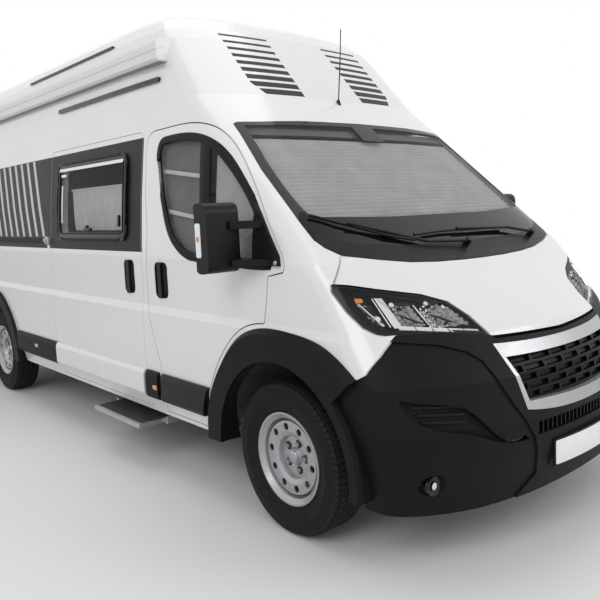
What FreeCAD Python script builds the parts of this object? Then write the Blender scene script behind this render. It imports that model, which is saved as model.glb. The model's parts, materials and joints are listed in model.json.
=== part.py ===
import FreeCAD, Part

# A long, high-roofed panel van fitted out as a camper, in millimetres.
# +X is the direction of travel, +Y the vehicle's left, +Z up. The origin lies on the ground
# below the centre of the vehicle's bounding box.

import math
import os
from FreeCAD import Vector

os.makedirs("parts", exist_ok=True)

# Driving dimensions

WHEELBASE = 4035.0
FRONT_OVERHANG = 948.0
REAR_OVERHANG = 1015.0
LENGTH = FRONT_OVERHANG + WHEELBASE + REAR_OVERHANG
FRONT_AXLE = LENGTH / 2 - FRONT_OVERHANG
REAR_AXLE = FRONT_AXLE - WHEELBASE
TRACK_FRONT = 1810.0
TRACK_REAR = 1790.0
TYRE_RADIUS = 362.0
TYRE_WIDTH = 216.0
RIM_FLANGE_RADIUS = 220.0
BEAD_RADIUS = 203.0
ARCH_RADIUS = 468.0
REAR_TRIM_WIDTH = 102.0
BUMPER_TRIM_WIDTH = 52.0
TRIM_PROUD = 1046.0

WALL = 50.0
GLASS = 8.0
SHUT_GAP = 6.0
SEAT_GAP = 0.3
ROOF_SEAM_Z = 2010.0
SPLIT_X = 795.0
SILL_Z = 345.0
FLOOR_Z = 505.0
FLOOR_THICKNESS = 22.0
DOOR_CLEAR_Y = 912.0
PILLAR_X = 940.0

# Sections through the body from the sill up. Each gives its height, then, ahead of the
# front axle, the nose on the centre line, the corner's vertex and the place where the front
# corner runs into the flat side, with the half widths there, and the rear face.
# height, nose x, corner x, corner y, bow y, side start x, side y, rear x
LOWER_SECTIONS = [
    (250.0, 893.0, 640.0, 955.0, 500.0, 300.0, 952.0, -5010.0),
    (450.0, 944.0, 690.0, 995.0, 470.0, 290.0, 1000.0, -5020.0),
    (600.0, FRONT_OVERHANG, 690.0, 1012.0, 460.0, 280.0, 1020.0, -5022.0),
    (780.0, 908.0, 640.0, 1010.0, 440.0, 230.0, 1024.0, -5020.0),
    (955.0, 802.0, 520.0, 990.0, 400.0, 150.0, 1022.0, -5015.0),
]
UPPER_SECTIONS = [
    (995.0, 748.0, 500.0, 985.0, 400.0, 130.0, 1010.0, -5013.0),
    (1083.0, 628.0, 440.0, 985.0, 430.0, 60.0, 1009.0, -5010.0),
    (1180.0, 490.0, 370.0, 985.0, 480.0, 0.0, 1009.0, -5006.0),
    (1270.0, 370.0, 285.0, 985.0, 560.0, -80.0, 1008.0, -5002.0),
    (1350.0, 276.0, 190.0, 975.0, 590.0, -250.0, 1004.0, -4998.0),
    (1600.0, -3.0, -95.0, 942.0, 560.0, -600.0, 984.0, -4988.0),
    (1960.0, -410.0, -515.0, 905.0, 500.0, -1000.0, 943.0, -4972.0),
    (2140.0, -615.0, -730.0, 883.0, 480.0, -1150.0, 915.0, -4962.0),
    (2350.0, -806.0, -915.0, 848.0, 490.0, -1240.0, 878.0, -4950.0),
    (2500.0, -943.0, -1040.0, 815.0, 495.0, -1320.0, 848.0, -4940.0),
    (2570.0, -1010.0, -1105.0, 792.0, 490.0, -1380.0, 828.0, -4932.0),
    (2640.0, -1098.0, -1200.0, 738.0, 470.0, -1440.0, 788.0, -4904.0),
    (2690.0, -1210.0, -1320.0, 650.0, 420.0, -1520.0, 718.0, -4850.0),
    (2712.0, -1330.0, -1450.0, 560.0, 350.0, -1650.0, 640.0, -4780.0),
]
INNER_LEVELS = (250.0, 600.0, 955.0, 995.0, 1180.0, 1350.0, 1600.0, 1960.0, 2350.0, 2570.0, 2640.0)
REAR_CORNER_RADIUS = 90.0
SIDE_RUNOUT = 450.0
SIDE_BLEND = 0.35
NOSE_BLEND = 0.45

RIGHT = -1
LEFT = 1
SIDE_NAMES = {RIGHT: "right", LEFT: "left"}


# Small helpers

def x_of(ahead_of_axle):
    """Distance ahead of the front axle, as a place in the vehicle's own frame."""
    return FRONT_AXLE + ahead_of_axle


def box(x0, x1, y0, y1, z0, z1):
    """Block between two corners."""
    return Part.makeBox(abs(x1 - x0), abs(y1 - y0), abs(z1 - z0), Vector(min(x0, x1), min(y0, y1), min(z0, z1)))


def mirrored(shape):
    """The same shape on the other side of the vehicle."""
    return shape.mirror(Vector(0, 0, 0), Vector(0, 1, 0))


def both_sides(shape):
    """A shape and its mirror image."""
    return [shape, mirrored(shape)]


def joined(shapes):
    """One solid or compound from touching shapes."""
    result = shapes[0].fuse(shapes[1:]) if len(shapes) > 1 else shapes[0]
    return result.removeSplitter()


def compound(shapes):
    """Separate solids kept in one node."""
    return Part.makeCompound([solid for shape in shapes for solid in shape.Solids])


def biggest(shape):
    """The largest solid, without the crumbs that a cut leaves."""
    return max(shape.Solids, key=lambda solid: solid.Volume)


def save(name, shape):
    """Write one piece."""
    if not shape.isValid() or not all(shell.isClosed() for shell in shape.Shells):
        print("check", name, shape.isValid(), [shell.isClosed() for shell in shape.Shells])
    shape.exportStep("parts/" + name + ".step")


def bezier(*poles):
    curve = Part.BezierCurve()
    curve.setPoles(list(poles))
    return curve.toShape()


def path_edges(stretches, place):
    """Edges of an outline. A stretch of two points is straight, a longer one is a smooth curve."""
    edges = []
    for stretch in stretches:
        points = [place(*point) for point in stretch]
        if len(points) == 2:
            edges.append(Part.LineSegment(points[0], points[1]).toShape())
        else:
            curve = Part.BSplineCurve()
            curve.interpolate(points)
            edges.append(curve.toShape())
    return edges


def closed_path(stretches):
    """Adds to each stretch the first point of the next, so that the outline closes."""
    starts = [stretch[0] for stretch in stretches[1:]] + [stretches[0][0]]
    return [list(stretch) + [start] for stretch, start in zip(stretches, starts)]


def grown_path(stretches, grow):
    """The same outline with every point moved outwards, mitred at the corners."""
    loop = [point for stretch in stretches for point in stretch]
    ring = list(zip(loop[-1:] + loop[:-1], loop, loop[1:] + loop[:1]))
    turn = math.copysign(1.0, sum(a[0] * b[1] - a[1] * b[0] for a, b, c in ring))
    moved = []
    for before, here, after in ring:
        normals = []
        for start, end in ((before, here), (here, after)):
            length = math.hypot(end[0] - start[0], end[1] - start[1])
            normals.append((turn * (end[1] - start[1]) / length, -turn * (end[0] - start[0]) / length))
        (a, b), (c, d) = normals
        reach = grow / max(1 + a * c + b * d, 0.4)
        moved.append((here[0] + (a + c) * reach, here[1] + (b + d) * reach))
    points = iter(moved)
    return [[next(points) for _ in stretch] for stretch in stretches]


def side_prism(stretches, side, y_inner=0.0, y_outer=1400.0, grow=0.0):
    """Outline in the side view, run outwards through one side of the body."""
    path = closed_path(grown_path(stretches, grow))
    wire = Part.Wire(path_edges(path, lambda x, z: Vector(x, side * y_inner, z)))
    return Part.Face(wire).extrude(Vector(0, side * (y_outer - y_inner), 0))


def front_prism(stretches, x0, x1, grow=0.0):
    """Outline in the front view, run along the vehicle."""
    path = closed_path(grown_path(stretches, grow))
    wire = Part.Wire(path_edges(path, lambda y, z: Vector(x0, y, z)))
    return Part.Face(wire).extrude(Vector(x1 - x0, 0, 0))


def plan_prism(stretches, z0, z1):
    """Outline in the plan view, run upwards."""
    wire = Part.Wire(path_edges(closed_path(stretches), lambda x, y: Vector(x, y, z0)))
    return Part.Face(wire).extrude(Vector(0, 0, z1 - z0))


def rounded_rectangle(u0, u1, v0, v1, radius):
    """Stretches of a rectangle with rounded corners, each corner a three-point curve."""
    bend = radius * (1 - math.sqrt(0.5))
    return [
        [(u0 + radius, v0)], [(u1 - radius, v0), (u1 - bend, v0 + bend)],
        [(u1, v0 + radius)], [(u1, v1 - radius), (u1 - bend, v1 - bend)],
        [(u1 - radius, v1)], [(u0 + radius, v1), (u0 + bend, v1 - bend)],
        [(u0, v1 - radius)], [(u0, v0 + radius), (u0 + bend, v0 + bend)],
    ]


def cylinder_y(radius, x, z, y0, y1):
    """Cylinder across the vehicle."""
    return Part.makeCylinder(radius, abs(y1 - y0), Vector(x, min(y0, y1), z), Vector(0, 1, 0))


def tube_between(start, end, radius):
    """Round bar from one point to another."""
    return Part.makeCylinder(radius, end.sub(start).Length, start, end.sub(start))


def revolved_y(profile, x, z):
    """Profile of (radius, y) points turned about a wheel's axis."""
    points = [Vector(x, y, z + radius) for radius, y in profile]
    face = Part.Face(Part.makePolygon(points + [points[0]]))
    return face.revolve(Vector(x, 0, z), Vector(0, 1, 0), 360)


# The body's outer form

def half_section(section, inset, side):
    """Points of one half outline: the runs and vertices that its curves are drawn from."""
    z, nose, corner_x, corner_y, bow, start, side_y, rear = section
    nose = x_of(nose) - inset * 1.15
    vertex = Vector(x_of(corner_x) - inset * 1.1, side * (corner_y - inset), z)
    half = side * (side_y - inset)
    bow = side * min(bow, corner_y * 0.8)
    front = Vector(nose, bow, z)
    flank = Vector(x_of(start), half, z)
    rear_x = x_of(rear) + inset
    corner = REAR_CORNER_RADIUS
    return {
        "nose": Vector(nose, 0, z),
        "front": front,
        "front_blend": vertex + (front - vertex) * NOSE_BLEND,
        "vertex": vertex,
        "side_blend": vertex + (flank - vertex) * SIDE_BLEND,
        "flank": flank,
        "straight": Vector(x_of(start) - SIDE_RUNOUT, half, z),
        "rear_side": Vector(rear_x + corner, half, z),
        "rear_mid": Vector(rear_x + corner * 0.29, half - side * corner * 0.29, z),
        "rear_back": Vector(rear_x, half - side * corner, z),
    }


def section_wire(section, inset=0.0):
    """Outline of the body at one height, with smooth front corners."""
    right = half_section(section, inset, RIGHT)
    left = half_section(section, inset, LEFT)
    edges = []
    edges.append(Part.LineSegment(right["rear_back"], right["rear_mid"]).toShape())
    edges.append(Part.LineSegment(right["rear_mid"], right["rear_side"]).toShape())
    edges.append(Part.LineSegment(right["rear_side"], right["straight"]).toShape())
    edges.append(bezier(right["straight"], right["flank"], right["side_blend"]))
    edges.append(bezier(right["side_blend"], right["vertex"], right["front_blend"]))
    edges.append(bezier(right["front_blend"], right["front"], right["nose"]))
    edges.append(bezier(left["nose"], left["front"], left["front_blend"]))
    edges.append(bezier(left["front_blend"], left["vertex"], left["side_blend"]))
    edges.append(bezier(left["side_blend"], left["flank"], left["straight"]))
    edges.append(Part.LineSegment(left["straight"], left["rear_side"]).toShape())
    edges.append(Part.LineSegment(left["rear_side"], left["rear_mid"]).toShape())
    edges.append(Part.LineSegment(left["rear_mid"], left["rear_back"]).toShape())
    edges.append(Part.LineSegment(left["rear_back"], right["rear_back"]).toShape())
    return Part.Wire(edges)


def lining_wire(section, inset):
    """Outline of the hollow at one height, in straight runs, since the lining hides it."""
    names = ["rear_back", "rear_side", "straight", "side_blend", "front_blend", "front"]
    right = half_section(section, inset, RIGHT)
    left = half_section(section, inset, LEFT)
    points = [right[name] for name in names] + [left[name] for name in reversed(names)]
    return Part.makePolygon(points + [points[0]])


def outer_form(inset=0.0):
    """The whole body as a solid, drawn in by an inset all round."""
    wires = [section_wire(section, inset) for section in LOWER_SECTIONS + UPPER_SECTIONS]
    return Part.makeLoft(wires, True, True)


def inner_form():
    """The hollow inside the body's walls. It runs out through the bottom."""
    sections = [s for s in LOWER_SECTIONS + UPPER_SECTIONS if s[0] in INNER_LEVELS]
    wires = [lining_wire(section, WALL) for section in sections]
    top = lining_wire(UPPER_SECTIONS[-3], WALL * 1.6)
    top.translate(Vector(0, 0, WALL * 0.4))
    low = wires[0].copy()
    low.translate(Vector(0, 0, -WALL))
    return Part.makeLoft([low] + wires[:-1] + [top], True, True)


print("body form")
OUTER = outer_form()
INNER = inner_form()
SHELL = OUTER.cut(INNER)
GLASS_BACK = outer_form(GLASS)
GLASS_SKIN = OUTER.cut(GLASS_BACK)
CUP_FLOOR = outer_form(26.0)
CUP_BACK = outer_form(30.0)
PROUD_SKIN = outer_form(-14.0).cut(OUTER)
FAR = 3200.0
print("shell volume", round(SHELL.Volume / 1e9, 3))

# Outlines of the panels, in the side view (x, z)

MIRROR_CORNER_X = 2106.0
DOOR_FRONT_X = 1982.0
DOOR_BOTTOM_Z = 375.0
DOOR_ARCH = [(1943, 992), (1760, 942), (1590, 790), (1490, 638), (1434, 470)]
FRONT_FLARE = [(1448, 250), (1446, 345), (1452, 470), (1505, 630), (1604, 775), (1767, 919), (1939, 970),
               (2141, 969), (2334, 938), (2481, 864), (2600, 770)]


def arch_point(radius, degrees, axle=FRONT_AXLE):
    """Point on a circle about a wheel's axis, in the side view."""
    turn = math.radians(degrees)
    return (axle + radius * math.cos(turn), TYRE_RADIUS + radius * math.sin(turn))


def cab_door_outline():
    """Outline of a cab door, which steps forward below the mirror and follows the wheel arch."""
    return [
        [(945, DOOR_BOTTOM_Z)], [(966, 445), (980, 605), (919, 796), (856, 1000), (860, 1256)],
        [(851, 1598)], [(842, 1880), (866, 1950)],
        [(960, 1980), (1200, 1986), (1360, 1974), (1480, 1940), (1580, 1878), (1700, 1772), (1830, 1632)],
        [(1938, 1500), (2010, 1405)], [(MIRROR_CORNER_X - 20, 1310)], [(MIRROR_CORNER_X, 1262)],
        [(MIRROR_CORNER_X - 12, 1236)], [(DOOR_FRONT_X + 6, 1214)], [(DOOR_FRONT_X - 10, 1102)],
        [(DOOR_FRONT_X - 30, 999)], DOOR_ARCH, [(1430, DOOR_BOTTOM_Z)],
    ]


DOOR_WINDOW = [
    [(966, 1816), (968, 1872), (990, 1918)],
    [(1030, 1938), (1188, 1942), (1327, 1930), (1444, 1900), (1541, 1856), (1716, 1720)],
    [(1850, 1588), (1935, 1480)], [(2050, 1310)], [(2010, 1240)], [(1860, 1238)],
    [(1333, 1264), (1213, 1308), (1106, 1399), (1028, 1592)],
]
SLIDING_DOOR = rounded_rectangle(-589.0, 792.0, DOOR_BOTTOM_Z, 1988.0, 40.0)
CAMPER_WINDOW = (-438.0, 632.0, 1363.0, 1892.0)
DOOR_HANDLE = (944.0, 1086.0, 1045.0, 1247.0)
SLIDER_HANDLE = (565.0, 697.0, 1050.0, 1253.0)
WINDOW_LAP = 36.0
REAR_DOOR_HALF = 898.0
REAR_DOOR_Z = (560.0, 2520.0)

# Outlines in the front view (y, z), for the left half and mirrored

COWL_LINE = [(0, 1230), (355, 1238), (529, 1250), (690, 1274), (852, 1302)]
SCREEN_SIDE = [(892, 1336), (908, 1372), (903, 1452), (893, 1541), (877, 1703), (839, 1897)]
SCREEN_TOP = [(832, 1955), (812, 1966), (714, 1968), (435, 1983), (0, 1988)]
GLASS_LINE = [(0, 1318), (500, 1324), (760, 1352), (893, 1400)]
BONNET_SIDE = [(856, 1330), (862, 1290), (946, 1192)]
LAMP_TOP = [(946, 1192), (905, 1186), (811, 1164), (709, 1143), (619, 1125), (516, 1085), (470, 1020), (452, 945)]
BONNET_FRONT = [(440, 943), (292, 938), (0, 929)]
LAMP_FOOT = [(452, 945), (498, 954), (665, 978), (816, 984), (1060, 976)]


def mirrored_outline(points):
    """A half outline from the centre line out, closed over the centre."""
    return [(-u, v) for u, v in reversed(points)]


def symmetric_front_prism(half, x0, x1, grow=0.0):
    """A front-view outline given for its left half, from the top centre to the bottom centre."""
    whole = list(half) + mirrored_outline(half)
    corners = [point for i, point in enumerate(whole) if i == 0 or point != whole[i - 1]]
    if corners[0] == corners[-1]:
        corners = corners[:-1]
    return front_prism([[point] for point in corners], x0, x1, grow)


NOSE_X = (1300.0, 3100.0)
SCREEN_HALF = list(reversed(SCREEN_TOP)) + list(reversed(SCREEN_SIDE))
SCREEN_ZONE = symmetric_front_prism(SCREEN_HALF + list(reversed(COWL_LINE)), *NOSE_X)
PLAN_COWL = [(2464, 0), (2461, 170), (2449, 355), (2426, 520), (2384, 690), (2322, 852), (2300, 905)]


def behind_cowl_line(gap=0.0):
    """Everything behind the bonnet's rear edge, in plan."""
    line = [(x - gap, y) for x, y in PLAN_COWL]
    points = [(1200, 0)] + line + [(2300 - gap, 1200), (1200, 1200)]
    half = plan_prism([[point] for point in points], 1100, 2100)
    return half.fuse(mirrored(half))


# Body panels

def handle_cup(place, side):
    """The pocket for a door handle, and the handle: a cup with an upright grip across it."""
    x0, x1, z0, z1 = place
    pocket = side_prism(rounded_rectangle(x0, x1, z0, z1, 34), side, 700).cut(CUP_BACK)
    hollow = side_prism(rounded_rectangle(x0 + 7, x1 - 7, z0 + 7, z1 - 7, 28), side, 700).cut(CUP_FLOOR)
    cup = biggest(pocket.common(OUTER).cut(hollow))
    middle = (x0 + x1) / 2
    grip = PROUD_SKIN.common(side_prism(rounded_rectangle(middle - 20, middle + 20, z0, z1, 12), side, 700))
    return pocket, biggest(joined([cup, biggest(grip)]))


print("cab panels")
front_shell = SHELL.common(box(SPLIT_X, FAR, -1300, 1300, 200, ROOF_SEAM_Z))
rear_shell = SHELL.common(box(-FAR, SPLIT_X, -1300, 1300, 200, 2760))
roof_front = SHELL.common(box(SPLIT_X, FAR, -1300, 1300, ROOF_SEAM_Z, 2760))

door_right = biggest(front_shell.common(side_prism(cab_door_outline(), RIGHT, 600)))
window_cut = side_prism(DOOR_WINDOW, RIGHT, 600)
door_glass = biggest(GLASS_SKIN.common(window_cut))
door_pocket, handle_left = handle_cup(DOOR_HANDLE, LEFT)
door_right = biggest(door_right.cut([window_cut, mirrored(door_pocket)]))
door_space = side_prism(cab_door_outline(), RIGHT, 500, 1400, SHUT_GAP)

screen_zone = SCREEN_ZONE.common(behind_cowl_line())
upper_glass = symmetric_front_prism(SCREEN_HALF + list(reversed(GLASS_LINE)), *NOSE_X)
windscreen = biggest(GLASS_SKIN.common(screen_zone).common(upper_glass))
cowl = biggest(SHELL.common(screen_zone).cut(upper_glass))

bonnet_half = [(0, 1500)] + BONNET_SIDE + LAMP_TOP[1:] + BONNET_FRONT
bonnet_zone = symmetric_front_prism(bonnet_half, *NOSE_X).cut(behind_cowl_line(-SHUT_GAP))
bonnet = biggest(front_shell.common(bonnet_zone))
HEM_DEPTH = 18.0
hem_relief = box(2000, 2700, 760, 1100, 1120, 1400).common(outer_form(HEM_DEPTH))
bonnet = biggest(bonnet.cut([hem_relief, mirrored(hem_relief)]))
bonnet_space = symmetric_front_prism(bonnet_half, *NOSE_X, grow=SHUT_GAP).cut(behind_cowl_line())

BUMPER_SIDE = [(2340, 200), (2340, 628), (2549, 822), (2575, 838), (2600, 905), (2612, 984)]


def bumper_zone():
    """Side view region of the bumper: ahead of the wheel arch and below lamps and bonnet."""
    points = BUMPER_SIDE + [(3100, 984), (3100, 200)]
    whole = Part.makePolygon([Vector(x, -1300, z) for x, z in points + points[:1]])
    return Part.Face(whole).extrude(Vector(0, 2600, 0))


lamp_side = [(2362, 1186), (2372, 1160), (2443, 1082), (2511, 1019), (2559, 990), (2608, 976), (2608, 940),
             (3100, 940), (3100, 1400), (2362, 1400)]
lamp_half = LAMP_TOP + LAMP_FOOT[1:] + [(1060, 1192)]
lamp_zone = front_prism([[point] for point in lamp_half], *NOSE_X)
lamp_zone = lamp_zone.common(side_prism([[point] for point in lamp_side], LEFT, 300))
lamp_left = biggest(front_shell.cut(bonnet_space).common(lamp_zone))
LENS_THICKNESS = 6.0
BOWL_WALL = 12.0
lens_back = outer_form(LENS_THICKNESS)
lamp_lens = biggest(lamp_left.cut(lens_back))
lamp_hollow = front_prism([[point] for point in lamp_half], *NOSE_X, grow=-BOWL_WALL)
lamp_hollow = lamp_hollow.common(side_prism([[point] for point in lamp_side], LEFT, 300, 1400, -BOWL_WALL))
lamp_bowl = biggest(lamp_left.common(lens_back).cut(lamp_hollow.cut(outer_form(WALL - BOWL_WALL))))

below_lamp_half = [(0, 915)] + [(438, 929)] + LAMP_FOOT + [(1300, 976), (1300, 100), (0, 100)]
below_lamps = symmetric_front_prism(below_lamp_half, *NOSE_X)
bumper = front_shell.common(bumper_zone()).common(below_lamps)
CORNER_STEP = [(866, 960), (701, 934), (600, 897), (555, 857), (528, 767), (479, 670), (378, 514), (337, 339),
               (431, 264), (450, 200), (1300, 200), (1300, 960)]
corner_step = front_prism([[point] for point in CORNER_STEP], 2300, 3100).cut(GLASS_BACK)
bumper = bumper.cut([corner_step, mirrored(corner_step)])

# The nose's openings, in the front view

SURROUND = [[(-414, 640), (-300, 622), (0, 606), (300, 622)], [(414, 640)], [(466, 912)], [(300, 904), (0, 899), (-300, 904)],
            [(-466, 912)]]
GRILLE_HOLE = [[(-392, 671), (-200, 663), (0, 658), (200, 663)], [(392, 671)], [(438, 856)],
               [(250, 852), (0, 850), (-250, 852)], [(-438, 856)]]
LOWER_INTAKE = rounded_rectangle(-366, 366, 522, 578, 12)
SIDE_INTAKE = [[(930, 745), (880, 650), (713, 590), (560, 530)], [(400, 512)], [(430, 535), (611, 593), (696, 683), (809, 718)]]
FOG_LAMP_PLACE = (837.0, 392.0)
FOG_LAMP_RADIUS = 45.0
PLATE_HALF = (265.0, 60.0)
PLATE_Z = 418.0

surround_zone = front_prism(SURROUND, 2700, 3100)
hole_zone = front_prism(GRILLE_HOLE, 2600, 3100)
bumper = bumper.cut(surround_zone)
nose_shell = SHELL.common(box(2700, FAR, -700, 700, 550, 960))
surround = biggest(nose_shell.common(surround_zone).cut(hole_zone))
recess = outer_form(22.0)
grille = nose_shell.common(hole_zone).common(recess)
GRILLE_BARS = 5
bar_pitch = (850 - 668) / GRILLE_BARS
slots = []
for row in range(GRILLE_BARS):
    low = 668 + bar_pitch * row + 6
    shift = 0 if row % 2 else 70
    for column in range(-3, 4):
        centre = column * 140 + shift
        slots.append(box(2700, 3100, centre - 62, centre + 62, low, low + bar_pitch - 12))
slot_zone = Part.makeCompound(slots).common(front_prism(GRILLE_HOLE, 2700, 3100, -8))
grille = biggest(grille.cut(slot_zone.cut(outer_form(38.0))))
side_intake = front_prism(SIDE_INTAKE, 2500, 3100).cut(CUP_BACK)
bumper = bumper.cut([front_prism(LOWER_INTAKE, 2700, 3100).cut(CUP_BACK), side_intake, mirrored(side_intake)])
fog = Part.makeCylinder(FOG_LAMP_RADIUS, 600, Vector(2600, FOG_LAMP_PLACE[0], FOG_LAMP_PLACE[1]), Vector(1, 0, 0))
fog_left = biggest(fog.common(SHELL).common(outer_form(14.0)))
bumper = bumper.cut([fog, mirrored(fog)])

print("side panels")
wheel_holes = [cylinder_y(ARCH_RADIUS, axle, TYRE_RADIUS, side * 700, side * 1300)
               for axle in (FRONT_AXLE, REAR_AXLE) for side in (RIGHT, LEFT)]
bumper = biggest(bumper.cut(wheel_holes[:2]))

cab = front_shell.cut([door_space, mirrored(door_space), SCREEN_ZONE.common(behind_cowl_line()), bonnet_space,
                       bonnet_zone, lamp_left, mirrored(lamp_left), bumper_zone().common(below_lamps)])
cab = cab.cut(wheel_holes[:2])
cab = cab.common(box(SPLIT_X, FAR, -1300, 1300, SILL_Z, ROOF_SEAM_Z))
wing_side = [(1424, 300), (1424, 1000), (2000, 1210), (2000, 1225), (2116, 1268), (2125, 1284), (2184, 1336),
             (2214, 1372), (2500, 1372), (2800, 984), (2800, 300)]
wing_zone = side_prism([[point] for point in wing_side], LEFT, 300)
wing_left = biggest(cab.common(wing_zone))
cab = cab.cut([wing_zone, mirrored(wing_zone)])
cab = biggest(cab)
BONNET_HINGE = Vector(2310, 0, 1345)
for opening in (4, 8, 12, 16, 20):
    # The corner of the rising bonnet passes close to the wing, so the wing gives way by a running clearance.
    for clearance in (Vector(0, 4, 4), Vector(0, 6, -2)):
        opened = bonnet.copy()
        opened.rotate(BONNET_HINGE, Vector(0, -1, 0), opening)
        opened.translate(clearance)
        wing_left = biggest(wing_left.cut(opened))
for leaf_z in (1040.0, 1150.0):
    wing_leaf = joined([box(1930, 2060, 928, 946, leaf_z, leaf_z + 16), box(1998, 2060, 928, 960, leaf_z, leaf_z + 16)])
    door_leaf = box(1930, 1964, 934, 962, leaf_z + 16 + SEAT_GAP, leaf_z + 34)
    wing_left = joined([wing_left, wing_leaf])
    door_right = joined([door_right, mirrored(door_leaf)])

rear_sides = rear_shell.common(box(-FAR, SPLIT_X, -1300, 1300, SILL_Z, ROOF_SEAM_Z))
rear_door_half = [(0, REAR_DOOR_Z[0]), (REAR_DOOR_HALF, REAR_DOOR_Z[0]), (REAR_DOOR_HALF, 1300), (842, 1950),
                  (745, REAR_DOOR_Z[1]), (0, REAR_DOOR_Z[1])]
REAR_WALL_X = -2835.0
rear_door_left = rear_shell.common(front_prism([[p] for p in rear_door_half], -3100, REAR_WALL_X, -3))
rear_space = front_prism([[p] for p in rear_door_half], -3100, REAR_WALL_X, SHUT_GAP)
rear_window = front_prism(rounded_rectangle(190, 740, 1300, 1860, 60), -3100, REAR_WALL_X)
rear_glass_left = biggest(GLASS_SKIN.common(rear_window))
rear_door_left = biggest(rear_door_left.cut(rear_window))
rear_sides = rear_sides.cut([rear_space, mirrored(rear_space)]).cut(wheel_holes[2:])
rear_sill = rear_sides.common(box(-3100, -2910, -898, 898, SILL_Z, REAR_DOOR_Z[0]))
rear_sides = rear_sides.cut(box(-3100, -2910, -898, 898, SILL_Z, REAR_DOOR_Z[0]))

TAIL_LAMP = [(905, 930), (1060, 930), (1060, 1420), (905, 1420)]
tail_zone = front_prism([[p] for p in TAIL_LAMP], -3100, -2860)
tail_lamp_left = biggest(rear_sides.common(tail_zone))
rear_sides = rear_sides.cut([tail_zone, mirrored(tail_zone)])

sliding_panel = rear_sides.common(side_prism(SLIDING_DOOR, RIGHT, 600))
sliding_space = side_prism(SLIDING_DOOR, RIGHT, 600, 1400, SHUT_GAP / 2)
rear_sides = rear_sides.cut(sliding_space)
x0, x1, z0, z1 = CAMPER_WINDOW
pane_outline = rounded_rectangle(x0, x1, z0, z1, 70)
hole_outline = rounded_rectangle(x0 + WINDOW_LAP, x1 - WINDOW_LAP, z0 + WINDOW_LAP, z1 - WINDOW_LAP, 50)
pane_left = biggest(PROUD_SKIN.common(side_prism(pane_outline, LEFT, 600)))
window_hole = side_prism(hole_outline, LEFT, 600)
rear_sides = rear_sides.cut(window_hole)
slider_pocket, slider_handle = handle_cup(SLIDER_HANDLE, RIGHT)
sliding_panel = biggest(sliding_panel.cut([mirrored(window_hole), slider_pocket]))
side_panel_left = biggest(rear_sides.common(box(-3200, SPLIT_X, 0, 1300, 0, 2800)))
side_panel_right = biggest(rear_sides.common(box(-3200, SPLIT_X, -1300, 0, 0, 2800)))

print("roof")
high_roof = rear_shell.common(box(-FAR, SPLIT_X, -1300, 1300, ROOF_SEAM_Z, 2760))
high_roof = high_roof.cut([rear_space, mirrored(rear_space)])
ROOF_VENT = (-900.0, 0.0, 200.0)
vent_hole = box(ROOF_VENT[0] - ROOF_VENT[2], ROOF_VENT[0] + ROOF_VENT[2], -200, 200, 2600, 2800)
high_roof = biggest(high_roof.cut(vent_hole))
roof_cap = biggest(roof_front)

# Chassis

print("chassis")
floor_plate = INNER.common(box(-2921, PILLAR_X, -1300, 1300, FLOOR_Z, FLOOR_Z + FLOOR_THICKNESS))
FIREWALL_X = 2100.0
cab_floor = box(PILLAR_X, FIREWALL_X, -DOOR_CLEAR_Y, DOOR_CLEAR_Y, FLOOR_Z, FLOOR_Z + FLOOR_THICKNESS)
RAIL_INNER, RAIL_OUTER, RAIL_Z = 420.0, 500.0, (405.0, FLOOR_Z)
rail = box(-2880, 2740, RAIL_INNER, RAIL_OUTER, *RAIL_Z)
cross_members = [box(x - 40, x + 40, -RAIL_INNER, RAIL_INNER, 425, FLOOR_Z) for x in (-2700, -1300, -100, 1100)]
sill_beam = joined([INNER.common(box(-1380, PILLAR_X, 820, 1000, 350, FLOOR_Z)),
                    box(PILLAR_X, 1440, 820, DOOR_CLEAR_Y, 350, FLOOR_Z)])
JACK_PAD_Z = 338.0
jack_pads = [box(x - 40, x + 40, 845, 905, JACK_PAD_Z, 350) for x in (-1300, 1300)]
outriggers = [box(x - 30, x + 30, RAIL_OUTER, 820, 400, FLOOR_Z) for x in (-1250, -300, 500, 1300)]
wheel_tunnels = [cylinder_y(ARCH_RADIUS + 14, axle, TYRE_RADIUS, side * inner, side * 1300)
                 for axle, inner in ((FRONT_AXLE, 548), (REAR_AXLE, 728)) for side in (RIGHT, LEFT)]
floor = joined([floor_plate, cab_floor, rail, mirrored(rail), sill_beam, mirrored(sill_beam)] + cross_members
               + outriggers + jack_pads + [mirrored(piece) for piece in outriggers + jack_pads])
floor = biggest(floor.cut(wheel_tunnels))
floor = biggest(floor.fuse(rear_sill))
TOW_BORE = 10.0
TOW_DEPTH = 60.0
tow_plate_front = box(2740, 2800, RAIL_INNER, RAIL_OUTER, *RAIL_Z)
floor = joined([floor, tow_plate_front, mirrored(tow_plate_front)])


def wheelhouse(axle, inner, outer):
    """Half drum over a wheel with an inner wall, standing on the chassis."""
    drum = cylinder_y(ARCH_RADIUS + 14, axle, TYRE_RADIUS, inner - 12, outer)
    hollow = cylinder_y(ARCH_RADIUS + 2, axle, TYRE_RADIUS, inner, outer + 10)
    keep = box(axle - 600, axle + 600, inner - 20, outer + 20, FLOOR_Z - 60, 1000)
    return drum.cut(hollow).common(keep).common(INNER)


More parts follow.
